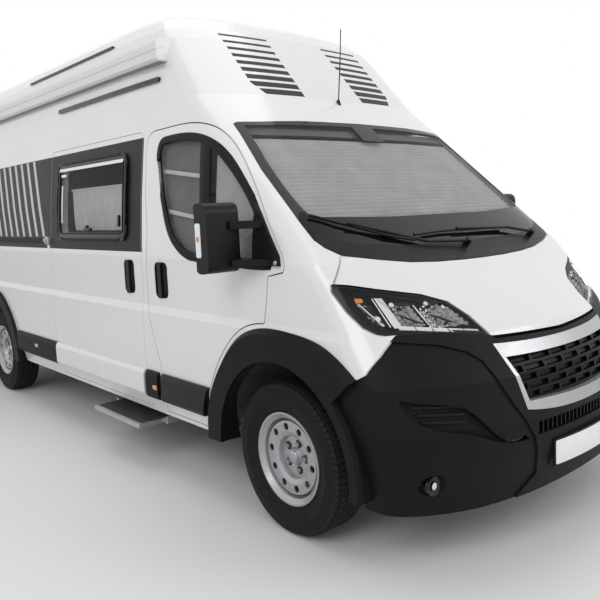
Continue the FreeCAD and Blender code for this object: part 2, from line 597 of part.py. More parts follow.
rear_house = wheelhouse(REAR_AXLE, 740, 1000)
front_house = wheelhouse(FRONT_AXLE, 560, 1000)
KINGPIN_Y = 775.0
PIN_RADIUS = 14.0
PIN_CLEARANCE = 0.05
strut_seat = Part.makeCylinder(58, 40, Vector(FRONT_AXLE, KINGPIN_Y, 794))
strut_seat = strut_seat.common(cylinder_y(ARCH_RADIUS + 8, FRONT_AXLE, TYRE_RADIUS, 500, 1000))
strut_pin = Part.makeCylinder(PIN_RADIUS, 64, Vector(FRONT_AXLE, KINGPIN_Y, 736))
front_house = joined([front_house, strut_seat, strut_pin])
firewall = box(FIREWALL_X, FIREWALL_X + 12, -910, 910, FLOOR_Z, 1190).cut(wheel_tunnels[:2]).common(INNER)

SPINDLE_RADIUS = 22.0
SPINDLE_END = 20.0
rear_y = TRACK_REAR / 2
beam = cylinder_y(36, REAR_AXLE, TYRE_RADIUS, -rear_y + 65, rear_y - 65)
spindle = cylinder_y(SPINDLE_RADIUS, REAR_AXLE, TYRE_RADIUS, rear_y - 66, rear_y + SPINDLE_END)
SPRING_Y = 600.0
leaf = side_prism([[(REAR_AXLE - 620, 418), (REAR_AXLE, 296)], [(REAR_AXLE + 620, 418)],
                   [(REAR_AXLE + 620, 440), (REAR_AXLE, 324)], [(REAR_AXLE - 620, 440)]],
                  LEFT, SPRING_Y - 35, SPRING_Y + 35)
spring_pad = box(REAR_AXLE - 50, REAR_AXLE + 50, SPRING_Y - 40, SPRING_Y + 40, 310, 350)
hangers = [box(REAR_AXLE + dx - 25, REAR_AXLE + dx + 25, RAIL_OUTER, SPRING_Y + 40, 410, FLOOR_Z) for dx in (-610, 610)]
rear_axle_side = [leaf, spring_pad, spindle] + hangers
rear_axle = joined([beam] + rear_axle_side + [mirrored(piece) for piece in rear_axle_side])

ARM_Z = (238.0, 262.0)
arm_half = [(420, -170), (420, 170), (560, 110), (KINGPIN_Y + 18, 26), (KINGPIN_Y + 18, -26), (560, -110)]
arm = plan_prism([[(FRONT_AXLE + dx, y)] for y, dx in arm_half], *ARM_Z)
ball_pin = Part.makeCylinder(PIN_RADIUS, 52, Vector(FRONT_AXLE, KINGPIN_Y, ARM_Z[1]))
arm_tower = box(FRONT_AXLE - 160, FRONT_AXLE + 160, RAIL_INNER, RAIL_INNER + 60, ARM_Z[0], RAIL_Z[0])
arm_tower = arm_tower.cut(cylinder_y(24, FRONT_AXLE, TYRE_RADIUS, 300, 600))
cradle = box(FRONT_AXLE - 160, FRONT_AXLE + 160, -RAIL_INNER, RAIL_INNER, ARM_Z[0], ARM_Z[0] + 50)
shaft = cylinder_y(16, FRONT_AXLE, TYRE_RADIUS, 348, 722)
front_side = [arm, ball_pin, arm_tower]
front_subframe = joined([cradle] + front_side + [mirrored(piece) for piece in front_side])
front_y = TRACK_FRONT / 2
engine_block = box(2130, 2700, -RAIL_INNER + 10, RAIL_INNER - 10, 470, 960)
gearbox = box(FRONT_AXLE - 130, 2130, -348, 348, 300, 492)
engine = joined([engine_block, gearbox, shaft, mirrored(shaft)])
engine_mounts = box(2380, 2460, -RAIL_INNER, RAIL_INNER, 440, 470)
floor = biggest(floor.fuse(engine_mounts))

lug_low = Part.makeCylinder(30, 30, Vector(FRONT_AXLE, KINGPIN_Y, ARM_Z[1] + 8))
lug_web = box(FRONT_AXLE - 24, FRONT_AXLE + 24, KINGPIN_Y, 840, ARM_Z[1] + 8, ARM_Z[1] + 38)
upright = box(FRONT_AXLE - 40, FRONT_AXLE + 40, 800, 840, ARM_Z[1] + 8, 500)
strut_arm = box(FRONT_AXLE - 30, FRONT_AXLE + 30, 706, 840, 440, 500)
strut_foot = Vector(FRONT_AXLE, 724, 440)
strut_head = Vector(FRONT_AXLE, 770, 752)
strut = tube_between(strut_foot, strut_head, 22)
collar = Part.makeCylinder(27, 36, Vector(FRONT_AXLE, KINGPIN_Y, 744))
front_spindle = cylinder_y(SPINDLE_RADIUS, FRONT_AXLE, TYRE_RADIUS, 838, front_y + SPINDLE_END)
knuckle_left = joined([lug_low, lug_web, upright, strut_arm, strut, collar, front_spindle])
pin_space = Part.makeCylinder(PIN_RADIUS + PIN_CLEARANCE, 40, Vector(FRONT_AXLE, KINGPIN_Y, ARM_Z[1] + 4))
top_space = Part.makeCylinder(PIN_RADIUS + PIN_CLEARANCE, 60, Vector(FRONT_AXLE, KINGPIN_Y, 730))
knuckle_left = biggest(knuckle_left.cut([pin_space, top_space]))

# Wheels

RIM_PROFILE = [(0, 46), (36, 46), (44, 30), (96, 30), (104, 52), (116, 58), (126, 62), (174, 62), (182, 40),
               (190, 70), (212, 89), (220, 88), (220, 80), (203, 75), (203, 48), (184, 30), (184, -30), (203, -48),
               (203, -75), (220, -80), (220, -89), (192, -70), (176, -28), (176, 30), (172, 54), (128, 54),
               (112, 46), (106, 22), (62, 20), (62, -12), (140, -12), (140, -30), (58, -30), (58, -59)]
TYRE_PROFILE = [(BEAD_RADIUS, -72), (BEAD_RADIUS, 72), (285, 108), (350, 92), (TYRE_RADIUS, 70),
                (TYRE_RADIUS, -70), (350, -92), (285, -108)]
BORE_RADIUS = SPINDLE_RADIUS + PIN_CLEARANCE
RIM_HOLES = 10
RIM_HOLE_RADIUS = 17.0
RIM_HOLE_CIRCLE = 147.0
RIM_HOLE_TURN = math.radians(-7)


def wheel_pieces(axle, track, side):
    """Tyre and rim of one wheel. The rim runs on the spindle in a blind bore."""
    middle = track / 2
    bore = [(BORE_RADIUS, -59), (BORE_RADIUS, SPINDLE_END + 6), (0, SPINDLE_END + 6)]
    rim = revolved_y([(r, side * (middle + y)) for r, y in RIM_PROFILE + bore], axle, TYRE_RADIUS)
    tyre = revolved_y([(r, side * (middle + y)) for r, y in TYRE_PROFILE], axle, TYRE_RADIUS)
    holes = []
    for number in range(RIM_HOLES):
        turn = 2 * math.pi * number / RIM_HOLES + RIM_HOLE_TURN
        at_x = axle + RIM_HOLE_CIRCLE * math.cos(turn)
        at_z = TYRE_RADIUS + RIM_HOLE_CIRCLE * math.sin(turn)
        holes.append(cylinder_y(RIM_HOLE_RADIUS, at_x, at_z, side * (middle + 40), side * (middle + 90)))
    return tyre, rim.cut(holes)


# Trim

print("trim")


def flare_disc(axle, radius):
    """Round block with a slanting rim, from which an even arch moulding is cut."""
    outer = cylinder_y(radius, axle, TYRE_RADIUS, 900, TRIM_PROUD)
    place = Vector(axle, TRIM_PROUD - 100, TYRE_RADIUS)
    return outer.common(Part.makeCone(radius + 30, radius - 8, 100, place, Vector(0, 1, 0)))


def flare_loft(outline):
    """Block over a free outline in the side view, with its rim slanting in over the last part."""
    wires = []
    for y, grow in ((900, 0), (TRIM_PROUD - 26, 0), (TRIM_PROUD, -24)):
        path = closed_path(grown_path(outline, grow))
        wires.append(Part.Wire(path_edges(path, lambda x, z: Vector(x, y, z))))
    return Part.makeLoft(wires, True, True)


def arch_trim(block, axle, from_angle, to_angle, seats):
    """The part of a block round a wheel arch between two angles, seated on what it covers."""
    turns = [from_angle + (to_angle - from_angle) * i / 6 for i in range(7)]
    fan = [(axle, TYRE_RADIUS)] + [arch_point(900, turn, axle) for turn in turns]
    arch = cylinder_y(ARCH_RADIUS - 3, axle, TYRE_RADIUS, 800, 1200)
    return biggest(block.common(side_prism([[point] for point in fan], LEFT, 700)).cut([arch] + seats))


BUMPER_JOINT = 42.7
front_block = flare_loft([FRONT_FLARE, [(2700, 640)], [(2700, 250)]])
front_trim = arch_trim(front_block, FRONT_AXLE, BUMPER_JOINT, 181.6, [OUTER])
rear_trim = arch_trim(flare_disc(REAR_AXLE, ARCH_RADIUS + REAR_TRIM_WIDTH), REAR_AXLE, -2, 182, [OUTER])
bumper_block = flare_disc(FRONT_AXLE, ARCH_RADIUS + BUMPER_TRIM_WIDTH).common(box(2400, 2700, 900, 1100, 290, 790))
bumper_flare = arch_trim(bumper_block, FRONT_AXLE, -6, BUMPER_JOINT, [GLASS_BACK, wing_left])
STRIP_Z = (448.0, 608.0)


def strip(x_start, x_end, side=LEFT):
    """Rub strip on the flank with a slanting upper face."""
    section = [Vector(x_start, side * 940, STRIP_Z[0]), Vector(x_start, side * 1034, STRIP_Z[0]),
               Vector(x_start, side * 1044, STRIP_Z[0] + 20), Vector(x_start, side * 1044, STRIP_Z[1] - 26),
               Vector(x_start, side * 1032, STRIP_Z[1]), Vector(x_start, side * 940, STRIP_Z[1])]
    bar = Part.Face(Part.makePolygon(section + section[:1])).extrude(Vector(x_end - x_start, 0, 0))
    return biggest(bar.cut(OUTER))


REAR_TRIM_EDGE = ARCH_RADIUS + REAR_TRIM_WIDTH + 2
strips_right = [strip(REAR_AXLE + REAR_TRIM_EDGE, -574, RIGHT), strip(806, 948, RIGHT)]
sliding_strip = strip(-566, 786, RIGHT)
strips_left = [strip(REAR_AXLE + REAR_TRIM_EDGE, -574), strip(-566, 948)]
tail_strips = both_sides(strip(-2690, REAR_AXLE - REAR_TRIM_EDGE))
door_strip = biggest(strip(900, 1500).common(side_prism(cab_door_outline(), LEFT, 600, 1400, -6)))

grown = outer_form(-28.0)
band_skin = grown.cut(OUTER)
rear_bumper = biggest(band_skin.common(box(-3100, -2700, -1300, 1300, 300, 545)))
rail_end = box(-2921, -2850, RAIL_INNER, RAIL_OUTER, *RAIL_Z)
TOW_REAR_Z = 268.0
tow_bracket = box(-2921, -2861, -495, -425, TOW_REAR_Z - 30, RAIL_Z[0] + 5)
tow_rear = Part.makeCylinder(TOW_BORE, TOW_DEPTH, Vector(-2861, -460, TOW_REAR_Z), Vector(-1, 0, 0))
floor = joined([floor, rail_end, mirrored(rail_end), tow_bracket]).cut(tow_rear)
floor = biggest(floor)
bumper = joined([bumper, bumper_flare, mirrored(bumper_flare)])
plate_pad = PROUD_SKIN.common(box(2700, 3100, -PLATE_HALF[0], PLATE_HALF[0], PLATE_Z - PLATE_HALF[1],
                                  PLATE_Z + PLATE_HALF[1])).common(outer_form(-4.0))
bumper = biggest(bumper.fuse(plate_pad))

MIRROR_X = (1752.0, 1868.0)
head = side_prism(rounded_rectangle(MIRROR_X[0], MIRROR_X[1], 1235, 1555, 46), LEFT, 1062, 1236)
head_slope = plan_prism([[(1700, 1040)], [(1900, 1040)], [(1872, 1070)], [(1880, 1236)], [(1800, 1260)], [(1745, 1220)],
                         [(1740, 1062)]], 1200, 1600)
head = head.common(head_slope)
mirror_glass = box(1749, 1757, 1084, 1212, 1264, 1526)
MIRROR_BASE = [(1892, 1262), (2086, 1262), (2074, 1306), (1996, 1402), (1926, 1496), (1880, 1548)]
mirror_base = PROUD_SKIN.common(side_prism([[point] for point in MIRROR_BASE], LEFT, 600))
LOWER_ARM = [(1930, 980), (2040, 980), (1990, 1050), (1886, 1122), (1862, 1122), (1862, 1050)]
UPPER_ARM = [(1896, 980), (1950, 980), (1934, 1046), (1884, 1122), (1862, 1122), (1862, 1040)]
arms = [plan_prism([[point] for point in LOWER_ARM], 1264, 1292), plan_prism([[point] for point in UPPER_ARM], 1432, 1468)]
mirror_left = biggest(joined([head, biggest(mirror_base)] + arms).cut([OUTER, mirror_glass]))

SCREEN_NORMAL = Vector(0.667, 0, 0.745)


def wiper(blade, arm):
    """Bars of a wiper: its blade along the glass, and the arm from its pivot on the cowl."""
    whole = tube_between(Vector(*arm[0]) - SCREEN_NORMAL * 10, Vector(*arm[0]) + SCREEN_NORMAL * 36, 17)
    for points, radius, lift in ((arm, 8, 25), (blade, 7, 16)):
        raised = [Vector(*point) + SCREEN_NORMAL * lift for point in points]
        for start, end in zip(raised, raised[1:]):
            run = (end - start).normalize() * 4
            whole = whole.fuse(tube_between(start - run, end + run, radius))
    return whole


right_wiper = wiper([(2119, -858, 1469), (2192, -761, 1432), (2246, -657, 1399), (2299, -547, 1361), (2338, -402, 1333)],
                    [(2384, -40, 1302), (2352, -330, 1316), (2216, -716, 1418)])
left_wiper = wiper([(2315, -368, 1355), (2311, -155, 1362), (2317, 89, 1359), (2315, 368, 1355)],
                   [(2355, 600, 1312), (2322, 400, 1346), (2313, -40, 1361)])
cowl = biggest(cowl.fuse([right_wiper, left_wiper]))

AWNING_X = (-2720.0, 980.0)
AWNING_SECTION = [(-760, 2364), (-916, 2362), (-930, 2374), (-931, 2412), (-926, 2415), (-926, 2421), (-931, 2424),
                  (-932, 2456), (-925, 2476), (-905, 2487), (-760, 2488)]
awning = biggest(front_prism([[point] for point in AWNING_SECTION], *AWNING_X).cut(OUTER))
roof_rail = biggest(PROUD_SKIN.common(side_prism(rounded_rectangle(-505, 933, 2257, 2284, 13), RIGHT, 600)))
tent_rail = biggest(box(-1196, 271, -836, -790, 2572, 2586).cut(OUTER))
slide_rail = biggest(PROUD_SKIN.common(side_prism(rounded_rectangle(-2640, -640, 1338, 1373, 6), RIGHT, 600)))

solar_panel = box(-2500, -1250, -520, 520, 2736, 2766)
feet = [box(x - 40, x + 40, y - 30, y + 30, 2690, 2736) for x in (-2400, -1350) for y in (-470, 470)]
solar = joined([solar_panel] + feet).cut(OUTER)
vent_lid = box(-1110, -690, -210, 210, 2690, 2752).cut(OUTER).cut(vent_hole)
antenna_base = Part.makeCone(20, 9, 46, Vector(1452, 0, 2100))
antenna_rod = [tube_between(Vector(1452, 0, 2130), Vector(1480, 0, 2373), 3.5),
               tube_between(Vector(1480, 0, 2370), Vector(1495, 0, 2544), 3)]
antenna = biggest(joined([antenna_base] + antenna_rod).cut(OUTER))

STEP_Z = 262.0
tread = box(172 + SEAT_GAP, 808 - SEAT_GAP, -930, -640, STEP_Z, STEP_Z + 26).fuse(
    box(180, 800, -1100, -930, STEP_Z, STEP_Z + 26)).removeSplitter()
channels = [box(x, x + 22, -930, -620, STEP_Z - 6, STEP_Z + 36) for x in (150, 808)]
channel_bars = [box(150, 830, y, y + 30, STEP_Z + 36, STEP_Z + 56) for y in (-700, -900)]
hung = [box(x, x + 22, -900, -870, STEP_Z + 30, 350) for x in (150, 808)]
step_frame = joined(channels + channel_bars + hung)

dash = side_prism([[(1640, 900)], [(1640, 1060), (1700, 1165), (1800, 1205)], [(FIREWALL_X, 1222)],
                   [(FIREWALL_X, 1100)], [(1900, 1050)], [(1790, 900)]], LEFT, -780, 780)
column = tube_between(Vector(1830, 440, 1060), Vector(1638, 440, 1148), 26)
WHEEL_AXIS = Vector(-0.91, 0, 0.415)
wheel_centre = Vector(1640, 440, 1147)
wheel_disc = Part.makeCylinder(196, 26, wheel_centre, WHEEL_AXIS)
wheel_ring = wheel_disc.cut(Part.makeCylinder(168, 40, wheel_centre - WHEEL_AXIS * 6, WHEEL_AXIS))
wheel_hub = Part.makeCylinder(70, 22, wheel_centre, WHEEL_AXIS)
spokes = box(1600, 1700, 255, 625, 1130, 1166).common(Part.makeCylinder(180, 22, wheel_centre, WHEEL_AXIS))
dashboard = joined([dash, column, wheel_ring, wheel_hub, spokes])


def seat(x, y, width=480.0):
    """Seat with a base on the floor, a cushion, a leaning back and a head rest."""
    half = width / 2
    base = box(x - 220, x + 200, y - 180, y + 180, FLOOR_Z + FLOOR_THICKNESS, 760)
    cushion = box(x - 260, x + 250, y - half, y + half, 760, 890)
    back = plan_prism([[(x - 390, y - half)], [(x - 240, y - half)], [(x - 240, y + half)], [(x - 390, y + half)]], 880, 1450)
    rest = box(x - 380, x - 280, y - 130, y + 130, 1450, 1640)
    return joined([base, cushion, back, rest])


seats = [seat(1130, 470), seat(1130, -470)]
rear_tunnel = wheel_tunnels[3]
bench = joined([box(-420, 60, 130, 850, FLOOR_Z + FLOOR_THICKNESS, 900), box(-420, -300, 130, 850, 900, 1500)])
bed = box(-2850, -1300, -900, 900, 1050, 1170)
cupboards = box(-2850, -1300, 560, 925, 527, 1050).cut(rear_tunnel)

blind = outer_form(70.0).cut(outer_form(74.0)).common(symmetric_front_prism(
    [(0, 1958), (640, 1938), (700, 1890), (745, 1500), (735, 1480), (0, 1466)], *NOSE_X))
blind_rail = INNER.common(box(1380, 1700, -560, 560, 1944, 2004)).cut(outer_form(76.0))
blind = joined([biggest(blind), biggest(blind_rail)])
tank = box(-100, 760, 520, 800, 250, 400)
exhaust = joined([tube_between(Vector(1850, 200, 290), Vector(-900, 330, 300), 30),
                  tube_between(Vector(-300, 301, 300), Vector(150, 285, 300), 80),
                  box(-105, -95, 284, 304, 330, 425), box(1095, 1105, 226, 246, 300, 425)])

print("saving")
save("cab_frame", cab)
save("front_wings", compound(both_sides(wing_left)))
save("windscreen", windscreen)
save("cowl", cowl)
save("bonnet", bonnet)
save("lamps", compound(both_sides(lamp_lens) + both_sides(fog_left) + both_sides(tail_lamp_left)))
save("lamp_bowls", compound(both_sides(lamp_bowl)))
save("front_bumper", bumper)
save("grille_surround", surround)
save("grille", grille)
save("side_panel_left", side_panel_left)
save("side_panel_right", side_panel_right)
save("sliding_door", compound([sliding_panel, sliding_strip, slider_handle]))
save("camper_windows", compound(both_sides(pane_left)))
save("high_roof", high_roof)
save("roof_cap", roof_cap)
save("floor", floor)
save("wheelhouses", compound(both_sides(rear_house) + both_sides(front_house) + [firewall]))
save("rear_axle", rear_axle)
save("front_subframe", front_subframe)
save("engine", engine)
save("underbody", compound([tank, exhaust]))
save("rear_bumper", rear_bumper)
save("side_mouldings", compound(both_sides(front_trim) + both_sides(rear_trim) + strips_right + strips_left
                                + tail_strips + [slide_rail]))
save("awning", awning)
save("roof_fittings", compound([solar, vent_lid, antenna, roof_rail, tent_rail]))
save("step_frame", step_frame)
save("step_tread", tread)
save("dashboard", dashboard)
save("cab_seats", compound(seats))
save("living_space", compound([bench, bed, cupboards]))
save("windscreen_blind", blind)
for side in (RIGHT, LEFT):
    name = SIDE_NAMES[side]
    place = mirrored if side == RIGHT else (lambda shape: shape)
    flip = mirrored if side == LEFT else (lambda shape: shape)
    save("front_door_" + name, flip(door_right))
    save("front_door_glass_" + name, flip(door_glass))
    save("front_door_fittings_" + name, place(compound([mirror_left, handle_left, door_strip])))
    save("mirror_glass_" + name, place(mirror_glass))
    save("rear_door_" + name, place(rear_door_left))
    save("rear_door_glass_" + name, place(rear_glass_left))
    save("front_knuckle_" + name, place(knuckle_left))
    for end, axle, track in (("front", FRONT_AXLE, TRACK_FRONT), ("rear", REAR_AXLE, TRACK_REAR)):
        tyre, rim = wheel_pieces(axle, track, side)
        save("tyre_" + end + "_" + name, tyre)
        save("rim_" + end + "_" + name, rim)
print("done")
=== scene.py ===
# %% [markdown]
# A camper van, dressed for its portrait.
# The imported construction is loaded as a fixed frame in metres: +X is forward, +Y the van's left and +Z up.
# What follows adds the paint's patterns, glazing seals, blinds, lamp interiors, the wheels' fine parts, seats
# and trim.

import json
import math

import bmesh
import bpy
from mathutils import Matrix, Vector
from mathutils.bvhtree import BVHTree


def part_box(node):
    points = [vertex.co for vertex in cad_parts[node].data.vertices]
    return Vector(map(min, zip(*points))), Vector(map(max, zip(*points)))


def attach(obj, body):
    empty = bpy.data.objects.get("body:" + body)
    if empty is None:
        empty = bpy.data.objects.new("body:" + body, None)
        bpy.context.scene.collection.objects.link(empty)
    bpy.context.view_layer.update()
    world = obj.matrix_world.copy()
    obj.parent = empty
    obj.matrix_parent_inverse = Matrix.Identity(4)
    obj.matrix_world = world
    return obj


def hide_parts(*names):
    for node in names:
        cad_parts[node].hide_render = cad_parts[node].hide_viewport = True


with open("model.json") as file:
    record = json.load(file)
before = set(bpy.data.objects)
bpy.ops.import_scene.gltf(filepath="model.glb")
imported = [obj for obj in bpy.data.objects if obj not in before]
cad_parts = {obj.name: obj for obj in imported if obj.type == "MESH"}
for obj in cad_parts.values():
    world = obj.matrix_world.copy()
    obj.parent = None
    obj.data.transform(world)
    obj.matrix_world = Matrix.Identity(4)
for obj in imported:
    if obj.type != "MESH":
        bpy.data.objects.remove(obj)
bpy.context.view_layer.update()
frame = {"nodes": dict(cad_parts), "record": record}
nodes = frame["nodes"]

# %% [markdown]
# Every finish is procedural. Its pattern reads object coordinates, so it keeps its scale on each panel and
# rides with the door or wheel that it belongs to. Shader values add, multiply and compare like plain numbers
# here, and each such sum adds a maths node.

# %% Shader helpers


def add(tree, kind, **values):
    """A shader node with some of its inputs or properties set."""
    node = tree.nodes.new(kind)
    for key, value in values.items():
        if key in node.inputs:
            node.inputs[key].default_value = value
        else:
            setattr(node, key, value)
    return node


class Value:
    """A number or a colour inside a shader."""

    def __init__(self, tree, socket):
        self.tree = tree
        self.socket = socket

    def __add__(self, other):
        return sum_of("ADD", self, other)

    def __sub__(self, other):
        return sum_of("SUBTRACT", self, other)

    def __rsub__(self, other):
        return sum_of("SUBTRACT", other, self)

    def __mul__(self, other):
        return sum_of("MULTIPLY", self, other)

    def __truediv__(self, other):
        return sum_of("DIVIDE", self, other)

    def __gt__(self, other):
        return sum_of("GREATER_THAN", self, other)

    def __lt__(self, other):
        return sum_of("LESS_THAN", self, other)

    __radd__ = __add__
    __rmul__ = __mul__


def feed(tree, source, target):
    """Gives an input a shader value, a plain number or a colour as a tuple."""
    if isinstance(source, Value):
        tree.links.new(source.socket, target)
    else:
        target.default_value = (*source, 1) if isinstance(source, tuple) else source


def sum_of(kind, *terms):
    """A maths node fed by shader values or plain numbers."""
    tree = next(term.tree for term in terms if isinstance(term, Value))
    node = add(tree, "ShaderNodeMath", operation=kind)
    for term, target in zip(terms, node.inputs):
        feed(tree, term, target)
    return Value(tree, node.outputs["Value"])


def most(first, *others):
    """The largest of several values."""
    for other in others:
        first = sum_of("MAXIMUM", first, other)
    return first


def length(first, second):
    """The length of a flat vector."""
    return sum_of("SQRT", first * first + second * second)


def within(value, low, high):
    """One between two limits and nought outside."""
    return (value > low) * (value < high)


def ranged(value, low, high, to_low, to_high):
    """A value moved from one range to another, held at the ends."""
    node = add(value.tree, "ShaderNodeMapRange")
    for key, source in (("Value", value), ("From Min", low), ("From Max", high), ("To Min", to_low),
                        ("To Max", to_high)):
        feed(value.tree, source, node.inputs[key])
    return Value(value.tree, node.outputs["Result"])


def blended(share, first, second):
    """A colour between two."""
    mix = add(share.tree, "ShaderNodeMix", data_type="RGBA")
    for source, target in ((share, mix.inputs["Factor"]), (first, mix.inputs[6]), (second, mix.inputs[7])):
        feed(share.tree, source, target)
    return Value(share.tree, mix.outputs[2])


class Finish:
    """A principled material that is built up step by step."""

    def __init__(self, name, color, rough, **more):
        self.material = bpy.data.materials.new(name)
        self.material.use_nodes = True
        self.tree = self.material.node_tree
        self.coords = add(self.tree, "ShaderNodeTexCoord")
        self.color = color
        self.rough = rough
        self.x, self.y, self.z = self.split("Object")
        self.put("Roughness", rough)
        for key, value in more.items():
            self.put(key.replace("_", " "), value)

    def put(self, key, source):
        """Feeds one of the material's main inputs."""
        feed(self.tree, source, self.tree.nodes["Principled BSDF"].inputs[key])
        return self

    def split(self, kind):
        """The three parts of a coordinate."""
        parts = add(self.tree, "ShaderNodeSeparateXYZ")
        self.tree.links.new(self.coords.outputs[kind], parts.inputs["Vector"])
        return [Value(self.tree, parts.outputs[axis]) for axis in "XYZ"]

    def noise(self, scale, detail=4.0):
        """Noise on the object's own coordinates."""
        cloud = add(self.tree, "ShaderNodeTexNoise", Scale=scale, Detail=detail)
        self.tree.links.new(self.coords.outputs["Object"], cloud.inputs["Vector"])
        return Value(self.tree, cloud.outputs["Fac"])

    def mottled(self, scale, change=0.12):
        """The colour varies a little, as wear and handling leave it."""
        low, high = (tuple(min(c * share, 1) for c in self.color) for share in (1 - change, 1 + change))
        self.color = blended(self.noise(scale, 6), low, high)
        return self

    def uneven(self, scale, spread=0.06):
        """The gloss varies a little."""
        low, high = max(self.rough - spread, 0), min(self.rough + spread, 1)
        return self.put("Roughness", ranged(self.noise(scale), 0.3, 0.7, low, high))

    def raised(self, height, depth, strength=1.0):
        """A bump of that depth in metres."""
        bump = add(self.tree, "ShaderNodeBump", Strength=strength, Distance=depth)
        feed(self.tree, height, bump.inputs["Height"])
        return self.put("Normal", Value(self.tree, bump.outputs["Normal"]))

    def grained(self, scale, depth=0.0004):
        """A fine moulded or woven grain."""
        return self.raised(self.noise(scale, 2), depth, 0.6)

    def dusty(self, amount, top=0.9, tone=(0.34, 0.32, 0.29)):
        """Road dust that thins out upwards."""
        share = ranged(self.z, top, 0.15, 0.0, amount) * self.noise(7.0, 6)
        self.color = blended(share, self.color, tone)
        return self

    def done(self):
        """Sets the colour and returns the material."""
        return self.put("Base Color", self.color).material


# %% [markdown]
# The van's white lacquer carries printed patterns: a dark matt band along the flanks with light slanting
# stripes at its rear part, and nine dark bars on each side of the roof cap. On the real van they are film.
# They are drawn in the lacquer's shader, because film has no thickness that shows. The shader also blackens
# the sliding door's handle, the lips of the wheel arches and the wings' lowest tips, which are plastic on the
# real van.

# %% White lacquer with its patterns
CHARCOAL, STRIPE = (0.013, 0.013, 0.014), (0.60, 0.60, 0.60)
BAR_BLACK, HANDLE_BLACK = (0.022, 0.022, 0.024), (0.012, 0.012, 0.013)
ARCH_BLACK = (0.010, 0.010, 0.010)
BAND_Z = (1.300, 1.957)
BAND_FRONT = 0.806
STRIPE_Z = (1.384, 1.953)
STRIPE_SLANT = 0.404
STRIPE_PITCH, STRIPE_WIDE = 0.140, 0.048
STRIPE_FIRST, STRIPE_COUNT = -0.937, 9.0
CAP_FOOT, CAP_HIGH, CAP_BARS = 2.150, 0.428, 9.0
HANDLE_X, HANDLE_Z, HANDLE_ROUND = (0.566, 0.696), (1.051, 1.252), 0.034
WING_TIP = (2.40, 0.822)
AXLES = (2.051, -1.984)
HUB_Z = 0.362
ARCH_EDGE = 0.4710


def box_edge(finish, x_span, z_span, width, corner):
    """One within that width of a rounded rectangle's edge and outside it, in side view."""
    far = []
    for value, span in ((finish.x, x_span), (finish.z, z_span)):
        middle, half = (span[0] + span[1]) / 2, (span[1] - span[0]) / 2 - width - corner
        far.append(most(sum_of("ABSOLUTE", value - middle) - half, 0.0))
    return length(*far) > corner


def by_end(finish, front, rear):
    """One number in the front half of the van and another in the rear half."""
    return ranged(finish.x > 0.0, 0.0, 1.0, rear, front)


def lacquer():
    """White paint with the side film, the stripes, the bars on the roof cap and the black parts."""
    paint = Finish("white_lacquer", (0.79, 0.795, 0.79), 0.24, Coat_Roughness=0.05).dusty(0.16, 1.0)
    ahead, sideways = paint.split("Normal")[:2]
    flank = (sideways * sum_of("SIGN", paint.y) > 0.3) * (paint.x < BAND_FRONT)
    band = flank * within(paint.z, *BAND_Z)
    slanted = paint.x - (BAND_Z[1] - paint.z) * STRIPE_SLANT
    count = (STRIPE_FIRST - slanted) / STRIPE_PITCH
    stripe = within(count, 0.0, STRIPE_COUNT) * (sum_of("FRACT", count) < STRIPE_WIDE / STRIPE_PITCH)
    stripe = stripe * flank * within(paint.z, *STRIPE_Z)
    share = (paint.z - CAP_FOOT) / CAP_HIGH
    across = sum_of("ABSOLUTE", paint.y)
    bar_field = within(share, 0.0, 1.0) * (ahead > 0.2) * (paint.x > 0.9)
    inner = across > ranged(share, 0.0, 1.0, 0.235, 0.221)
    outer = across < ranged(share, 0.0, 0.16, 0.500, 0.553)
    dark = sum_of("FRACT", share * CAP_BARS) < ranged(share, 0.0, 1.0, 0.78, 0.24)
    bars = dark * bar_field * inner * outer
    handle = (1.0 - box_edge(paint, HANDLE_X, HANDLE_Z, 0.0, HANDLE_ROUND)) * within(paint.y, -1.2, -0.9)
    reach = length(paint.x - by_end(paint, *AXLES), paint.z - HUB_Z)
    tip = (paint.x > WING_TIP[0]) * (paint.z < WING_TIP[1])
    arch = most(reach < ARCH_EDGE, tip)
    for mask, tone in ((band, CHARCOAL), (stripe, STRIPE), (bars, BAR_BLACK), (handle, HANDLE_BLACK),
                       (arch, ARCH_BLACK)):
        paint.color = blended(mask, paint.color, tone)
    matt = most(band, bars, handle, arch)
    paint.put("Roughness", ranged(paint.noise(30.0), 0.3, 0.7, 0.20, 0.27) + matt * 0.22)
    paint.put("Coat Weight", ranged(matt, 0.0, 1.0, 0.5, 0.05))
    paint.put("Specular IOR Level", ranged(matt, 0.0, 1.0, 0.5, 0.18))
    return paint.done()


white = lacquer()

# %% [markdown]
# Plastics differ in grain and dust: bumpers and mouldings are a grained dark grey, the cowl, dashboard and
# mirrors a finer black and the grille a smooth black. Metals, lacquers and lenses vary a little in colour and
# gloss.

# %% Plastics, metals and lenses
grey_plastic = Finish("grained_grey_plastic", (0.0070, 0.0071, 0.0075), 0.50, Specular_IOR_Level=0.12)
grey_plastic = grey_plastic.mottled(14).uneven(60).grained(700).dusty(0.05, 0.8, (0.10, 0.095, 0.09)).done()
black_plastic = Finish("fine_black_plastic", (0.006, 0.006, 0.0065), 0.38, Specular_IOR_Level=0.2).mottled(20)
black_plastic = black_plastic.uneven(90).grained(900, 0.0003).done()
grille_plastic = Finish("grille_plastic", (0.0028, 0.0028, 0.003), 0.36, Specular_IOR_Level=0.12)
grille_plastic = grille_plastic.mottled(20).uneven(90).done()
gloss_black = Finish("gloss_black_trim", (0.006, 0.006, 0.007), 0.2, Coat_Weight=0.1, Specular_IOR_Level=0.3)
gloss_black = gloss_black.uneven(50, 0.04).done()
seal_rubber = Finish("window_rubber", (0.006, 0.006, 0.0065), 0.48, Specular_IOR_Level=0.15).mottled(25)
seal_rubber = seal_rubber.uneven(80).grained(500, 0.0003).done()
